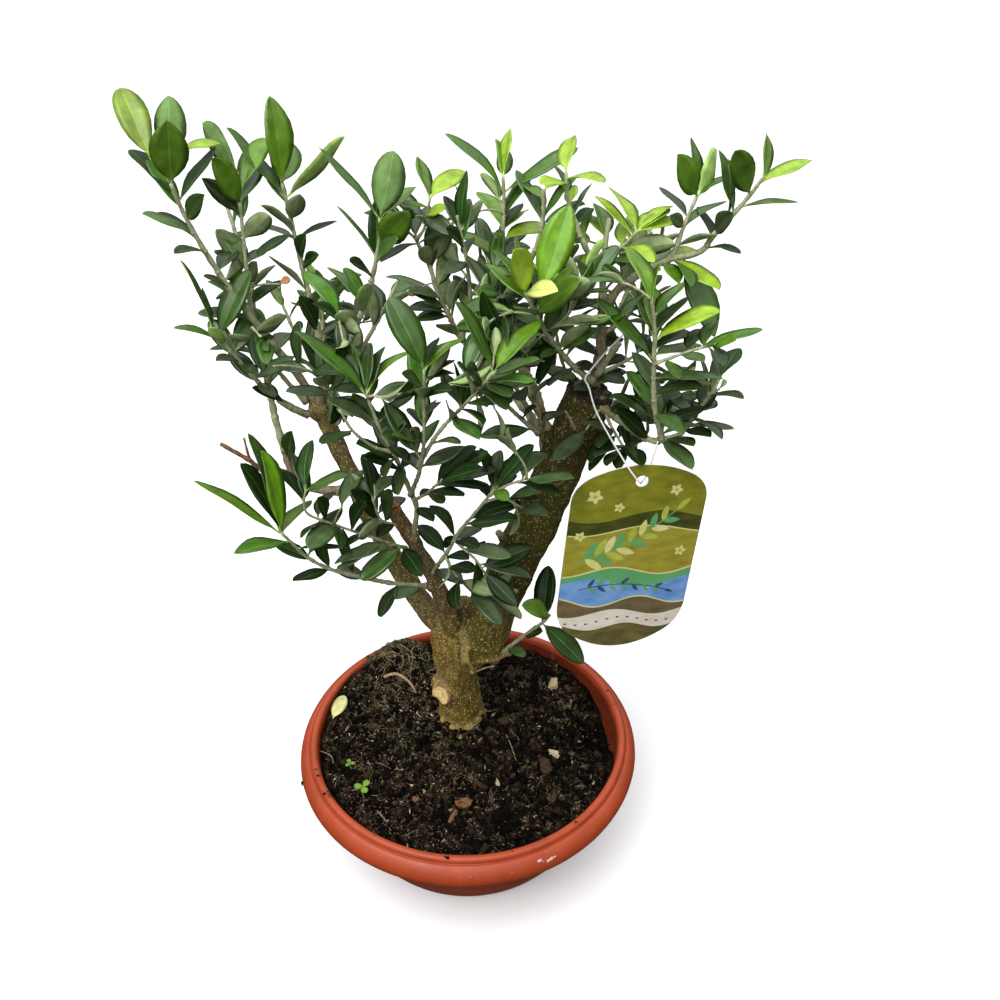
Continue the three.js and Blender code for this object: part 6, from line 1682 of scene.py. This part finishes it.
LIMIT = 760
first_piece = True
for t, label in enumerate(TONES):
    items = [it for it in LEAVES if it[0] == t]
    for part in range(0, len(items), LIMIT):
        some = items[part:part + LIMIT]
        v = leaf_mesh(some)
        n_leaf, n_vert = v.shape[:2]
        offs = (np.arange(n_leaf) * n_vert)[:, None, None]
        quads = (LEAF_Q[None] + offs).reshape(-1, 4)
        tris = (LEAF_T[None] + offs).reshape(-1, 3)
        own = np.array([it[1] for it in some])
        look = np.array([0, 3, 4, 5])
        qm = np.where(LEAF_QK[None, :] == 0, own[:, None], look[LEAF_QK][None, :]).ravel()
        tm = np.tile(look[LEAF_TK], n_leaf)
        build("leaves_%s_%d" % (label, part // LIMIT), v.reshape(-1, 3) * MM, quads, tris, np.concatenate([qm, tm]), leaf_mats[t], True,
              MASS_NAMES if first_piece else ())
        first_piece = False

# A fallen yellow leaf and clover seedlings on the soil.
fallen_mats = [leaf_finish("leaf_fallen", (196, 190, 132), 0.6, 0.3), leaf_finish("leaf_clover", (104, 140, 42), 0.5, 0.3), leaf_finish("leaf_clover_stalk", (120, 150, 70), 0.6, 0.3)]


def loose_leaves(name, items, mats, kinds):
    v = leaf_mesh(items)
    n_leaf, n_vert = v.shape[:2]
    offs = (np.arange(n_leaf) * n_vert)[:, None, None]
    pile = Pile()
    pile.add(v.reshape(-1, 3), (LEAF_Q[None] + offs).reshape(-1, 4), (LEAF_T[None] + offs).reshape(-1, 3), 0, np.repeat(kinds, len(LEAF_Q)), np.repeat(kinds, len(LEAF_T)))
    return pile


loose, kinds = [], []
p0, p1 = on_soil(333, 722), on_soil(345, 702)
chord = p1 - p0
loose.append((0, 0, p0 + UP * 3.0, unit(chord + UP * 3), unit(UP + np.array([-0.3, -0.6, 0])), 19.0, 11.0, 0.25, -0.4, 0.1, 0.0, 1.0, 0.0))
kinds.append(0)
stalks = []
rng = dice("clover")
for u, v, size in [(365, 795, 5.6), (352, 766, 3.4)]:
    p = on_soil(u, v + 4)
    head = p + np.array([rng.normal(0, 1.5), rng.normal(0, 1.5), size * 1.6])
    stalks.append(curve([p - UP, (p + head) / 2 + rng.normal(0, 0.6, 3), head], 1.5))
    a0 = rng.uniform(0, 6.28)
    for k in range(3):
        a = a0 + k * 2.094
        d = np.array([math.cos(a), math.sin(a), 0.12])
        loose.append((0, 0, head, unit(d), UP, size, size * 0.86, 0.3, 0.25, 0.0, 0.0, 0.5, 0.0))
        kinds.append(1)
pile = loose_leaves("soil_sprouts", loose, fallen_mats, kinds)
for line in stalks:
    pile.add(*tube(line, np.full(len(line), 0.35), 6), mat=2)
pile.make("soil_sprouts", fallen_mats, True, "foliage")


# ------------------------------------------------------------------ tag and thread

TAG_L, TAG_R, TAG_T, TAG_B, TAG_M, TAG_K = -36.4, 38.0, 9.8, -111.5, 0.8, 26.0
TAG_HALF = 0.4


def bend(p0, c, p1, n=14):
    t = np.linspace(0, 1, n)[:, None]
    return (1 - t) ** 2 * np.array(p0) + 2 * t * (1 - t) * np.array(c) + t ** 2 * np.array(p1)


upper_edge = np.vstack([bend((TAG_L, TAG_T - 22), (TAG_L + 0.6, TAG_T - 11.5), (TAG_M - TAG_K, TAG_T - 6.2)), bend((TAG_M - TAG_K, TAG_T - 6.2), (TAG_M - TAG_K / 2, TAG_T), (TAG_M, TAG_T)),
                        bend((TAG_M, TAG_T), (TAG_M + TAG_K / 2, TAG_T), (TAG_M + TAG_K, TAG_T - 6.2)), bend((TAG_M + TAG_K, TAG_T - 6.2), (TAG_R - 0.6, TAG_T - 11.5), (TAG_R, TAG_T - 22))])
lower_edge = np.vstack([bend((TAG_L, TAG_B + 29.5), (TAG_L + 0.5, TAG_B + 15), (TAG_M - TAG_K, TAG_B + 8.5)), bend((TAG_M - TAG_K, TAG_B + 8.5), (TAG_M - TAG_K / 2, TAG_B), (TAG_M, TAG_B)),
                        bend((TAG_M, TAG_B), (TAG_M + TAG_K / 2, TAG_B), (TAG_M + TAG_K, TAG_B + 8.5)), bend((TAG_M + TAG_K, TAG_B + 8.5), (TAG_R - 0.5, TAG_B + 15), (TAG_R, TAG_B + 29.5))])


def edge_at(edge, x):
    keep = np.concatenate([[True], np.diff(edge[:, 0]) > 1e-6])
    return np.interp(x, edge[keep, 0], edge[keep, 1])


HOLE_R = 3.4
cols = np.unique(np.concatenate([np.linspace(TAG_L, TAG_R, 96), HOLE_R * np.sin(np.linspace(-math.pi / 2, math.pi / 2, 15)), TAG_L + np.array([0.15, 0.4, 0.9, 1.6, 2.6]), TAG_R - np.array([0.15, 0.4, 0.9, 1.6, 2.6])]))
hi, lo = edge_at(upper_edge, cols), edge_at(lower_edge, cols)
hole = np.where(np.abs(cols) < HOLE_R, np.sqrt(np.maximum(0, HOLE_R ** 2 - cols ** 2)), 0.0)
# Printed fields: gentle waves from side to side, each in a plain tone.
waves = [-22 + 3.5 * np.sin(cols * 0.085 + 0.5), -31 + 3.0 * np.sin(cols * 0.085 + 0.9), -58 + 3.0 * np.sin(cols * 0.11 + 2.4), -66 + 3.4 * np.sin(cols * 0.10 + 3.6),
         -79 + 3.2 * np.sin(cols * 0.13 + 0.4), -87 + 2.6 * np.sin(cols * 0.12 + 2.0), -97 + 2.2 * np.sin(cols * 0.15 + 1.0)]
bounds_rows = [hi, np.minimum(hi, hole), np.clip(-hole, lo, hi)] + [np.clip(w_, lo, hi) for w_ in waves] + [lo]
rows = np.stack(bounds_rows)
fields = [0, None, 0, 1, 2, 3, 4, 5, 6, 7]


def card_point(x, z, y):
    # The card is bowed a little, its side edges away from the front.
    c, s_, y = math.cos(TAG_TURN), math.sin(TAG_TURN), y + 0.0008 * np.asarray(x) ** 2
    x, z = x * math.cos(TAG_LEAN) + z * math.sin(TAG_LEAN), z * math.cos(TAG_LEAN) - x * math.sin(TAG_LEAN)
    return np.stack([TAG_HOLE[0] + x * c - y * s_, TAG_HOLE[1] + x * s_ + y * c, TAG_HOLE[2] + z], -1)


card = Pile()
nb, ncol = rows.shape
front = card_point(np.tile(cols, (nb, 1)), rows, np.full((nb, ncol), -TAG_HALF)).reshape(-1, 3)
back = card_point(np.tile(cols, (nb, 1)), rows, np.full((nb, ncol), TAG_HALF)).reshape(-1, 3)
quads, qmats = [], []
total = nb * ncol
for b in range(nb - 1):
    if fields[b] is None:
        continue
    for c in range(ncol - 1):
        q = [b * ncol + c, (b + 1) * ncol + c, (b + 1) * ncol + c + 1, b * ncol + c + 1]
        ends = rows[b, c] - rows[b + 1, c] > 1e-6, rows[b, c + 1] - rows[b + 1, c + 1] > 1e-6
        if not any(ends):
            continue
        quads.append(q)
        qmats.append(fields[b])
        quads.append([total + i for i in q[::-1]])
        qmats.append(8)
for c in range(ncol - 1):
    quads.append([c, c + 1, total + c + 1, total + c])
    qmats.append(8)
    e = (nb - 1) * ncol
    quads.append([e + c + 1, e + c, total + e + c, total + e + c + 1])
    qmats.append(8)
    if hole[c] > 0 or hole[c + 1] > 0:
        for b, flip in ((1, False), (2, True)):
            q = [b * ncol + c + 1, b * ncol + c, total + b * ncol + c, total + b * ncol + c + 1]
            quads.append(q[::-1] if flip else q)
            qmats.append(8)
for b in range(nb - 1):
    if rows[b, 0] - rows[b + 1, 0] > 1e-6:
        quads.append([b * ncol, total + b * ncol, total + (b + 1) * ncol, (b + 1) * ncol])
        qmats.append(8)
    e = ncol - 1
    if rows[b, e] - rows[b + 1, e] > 1e-6:
        quads.append([(b + 1) * ncol + e, total + (b + 1) * ncol + e, total + b * ncol + e, b * ncol + e])
        qmats.append(8)
card.add(np.vstack([front, back]), quads, None, 0, qmats)


def print_finish(name, a, b, rough=0.28, scale=90.0):
    f = Finish(name, rough, 0.5)
    n = f.noise(scale, 3.0, 0.55, vec=f.stretch((1.0, 1.0, 2.2)))
    f.base(f.ramp(n, [(0.30, srgb(*a)), (0.70, srgb(*b))]))
    f.normal(f.bump(f.noise(1800.0, 2.0), 0.03, 0.0002))
    return f.mat


card_mats = [print_finish("card_olive", (112, 116, 30), (150, 148, 44)), print_finish("card_leaf_dark", (52, 58, 22), (86, 90, 32)), print_finish("card_gold", (140, 134, 40), (172, 162, 62)),
             print_finish("card_green", (92, 160, 102), (104, 172, 112)), print_finish("card_blue", (92, 140, 204), (140, 176, 222)), print_finish("card_brown", (92, 82, 58), (126, 108, 74)),
             print_finish("card_sand", (214, 204, 184), (236, 228, 212)), print_finish("card_moss", (70, 72, 40), (120, 108, 58)), print_finish("card_white", (238, 238, 234), (248, 248, 244), 0.4),
             print_finish("card_cream", (206, 206, 120), (226, 224, 156)), print_finish("card_lime", (160, 172, 60), (188, 196, 88)), print_finish("card_navy", (54, 74, 100), (70, 92, 122))]
tag = card.make("tag_print", card_mats, False, "tag", ("tag_card",))
weld = tag.modifiers.new("weld", "WELD")
weld.merge_threshold = 0.00001

# Raised-ink sprigs on the upper field: small plain leaves in rows, on the card's front.
ink = Pile()


def ink_leaf(x, z, angle, long, wide, mat, lift=0.06):
    t = np.linspace(0, 1, 9)
    h = np.sin(math.pi * t ** 0.9) ** 0.8 * wide / 2
    xs = np.concatenate([t * long, (t * long)[-2:0:-1]])
    zs = np.concatenate([h, -h[-2:0:-1]])
    ca, sa = math.cos(angle), math.sin(angle)
    px_, pz_ = x + xs * ca - zs * sa, z + xs * sa + zs * ca
    n = len(px_)
    f = card_point(px_, pz_, np.full(n, -TAG_HALF - lift))
    g = card_point(px_, pz_, np.full(n, -TAG_HALF + 0.05))
    mid_f, mid_g = f.mean(0), g.mean(0)
    k = np.arange(n)
    m = (k + 1) % n
    ink.add(np.vstack([f, g, mid_f, mid_g]), np.stack([k, n + k, n + m, m], -1), np.vstack([np.stack([np.full(n, 2 * n), k, m], -1), np.stack([np.full(n, 2 * n + 1), n + m, n + k], -1)]), mat)


def ink_line(pts, wide, mat):
    """A thin even stroke of ink along a bent line on the card."""
    p = np.asarray(pts, float)
    t = np.gradient(p, axis=0)
    t /= np.linalg.norm(t, axis=1)[:, None]
    side = np.stack([-t[:, 1], t[:, 0]], -1) * wide / 2
    n = len(p)
    a, b = p + side, p - side
    rows_ = [card_point(q[:, 0], q[:, 1], np.full(n, y)) for q in (a, b) for y in (-TAG_HALF - 0.05, -TAG_HALF + 0.05)]
    k = np.arange(n - 1)
    quads_ = [np.stack([x * n + k, y * n + k, y * n + k + 1, x * n + k + 1], -1) for x, y in ((0, 2), (2, 3), (3, 1), (1, 0))]
    quads_.append(np.array([[0, n, 3 * n, 2 * n], [n - 1, 3 * n - 1, 4 * n - 1, 2 * n - 1]]))
    ink.add(np.vstack(rows_), np.vstack(quads_), None, mat)


# Two bent sprigs of plain leaves, one large across the upper field and one small in the pale field below.
for p0, c0, p1, count, long, wide, mats_ in [((-30, -50), (-4, -46), (24, -17), 9, 13.0, 4.6, (0, 1, 2)), ((-26, -70), (0, -62), (26, -73), 8, 7.0, 2.4, (1, 3, 1))]:
    way = bend(p0, c0, p1, 40)
    ink_line(way, 0.7, mats_[1])
    for k in range(count):
        q = int(4 + k * 34 / (count - 1))
        t = way[min(q + 1, 39)] - way[q - 1]
        lean = math.atan2(t[1], t[0])
        for side in ((1, -1) if k < count - 1 else (0,)):
            ink_leaf(way[q][0], way[q][1], lean + side * (0.85 - 0.02 * k), long * (1.0 - 0.035 * k), wide * (1.0 - 0.03 * k), mats_[(k + (side > 0)) % 3])
# Fine pale lines along the edges of the fields, small five-petalled blossoms and rows of dots.
wave_x = np.linspace(TAG_L + 0.6, TAG_R - 0.6, 70)
for base_z, high, rate, start, wide in [(-31, 3.0, 0.085, 0.9, 0.8), (-58, 3.0, 0.11, 2.4, 0.9), (-79, 3.2, 0.13, 0.4, 0.8)]:
    ink_line(np.stack([wave_x, base_z + high * np.sin(wave_x * rate + start)], -1), wide, 0)
for x, z, size in [(-24, -9, 4.6), (20, -6, 3.8), (-10, -16, 3.2), (29, -46, 3.6), (-29, -34, 3.4)]:
    for k in range(5):
        ink_leaf(x, z, k * 1.2566 + x, size, size * 0.62, 0)
    for k in range(4):
        ink_leaf(x, z, k * 1.5708, size * 0.3, size * 0.3, 2, 0.09)
for x in np.arange(-30, 31, 6.0):
    for k in range(2):
        ink_leaf(x - 0.7, -92.5 + 2.4 * math.sin(x * 0.13 + 1.4), k * math.pi, 0.9, 1.3, 3)
ink.make("tag_ink", [card_mats[9], card_mats[3], card_mats[10], card_mats[11]], False, "tag")

THREAD = [tuple(at(626, 332, 4)), tuple(at(606, 352, 2)), tuple(at(590, 371, -1)), tuple(at(585, 379, -4)), tuple(at(589, 388, -9)), (71, -16, 318), (84, -31.5, 300), (91.6, -36, 290.4), (94.7, -30, 286.4), (97.4, -27.6, 290), (99.8, -26, 299), (102, -22.4, 306)]
thread_finish = Finish("thread_white", 0.35, 0.5)
thread_finish.base(thread_finish.ramp(thread_finish.noise(500.0), [(0.3, srgb(226, 226, 220)), (0.7, srgb(246, 246, 242))]))
line = curve(THREAD, 1.2)
loop = Pile()
loop.add(*tube(line, np.full(len(line), 0.46), 8))
loop.make("tag_loop", [thread_finish.mat], True, "thread", ("tag_thread",))

# ------------------------------------------------------------------ sizes

print("leaves", len(LEAVES), [sum(1 for it in LEAVES if it[0] == t) for t in range(6)], "stems", len(STEMS))
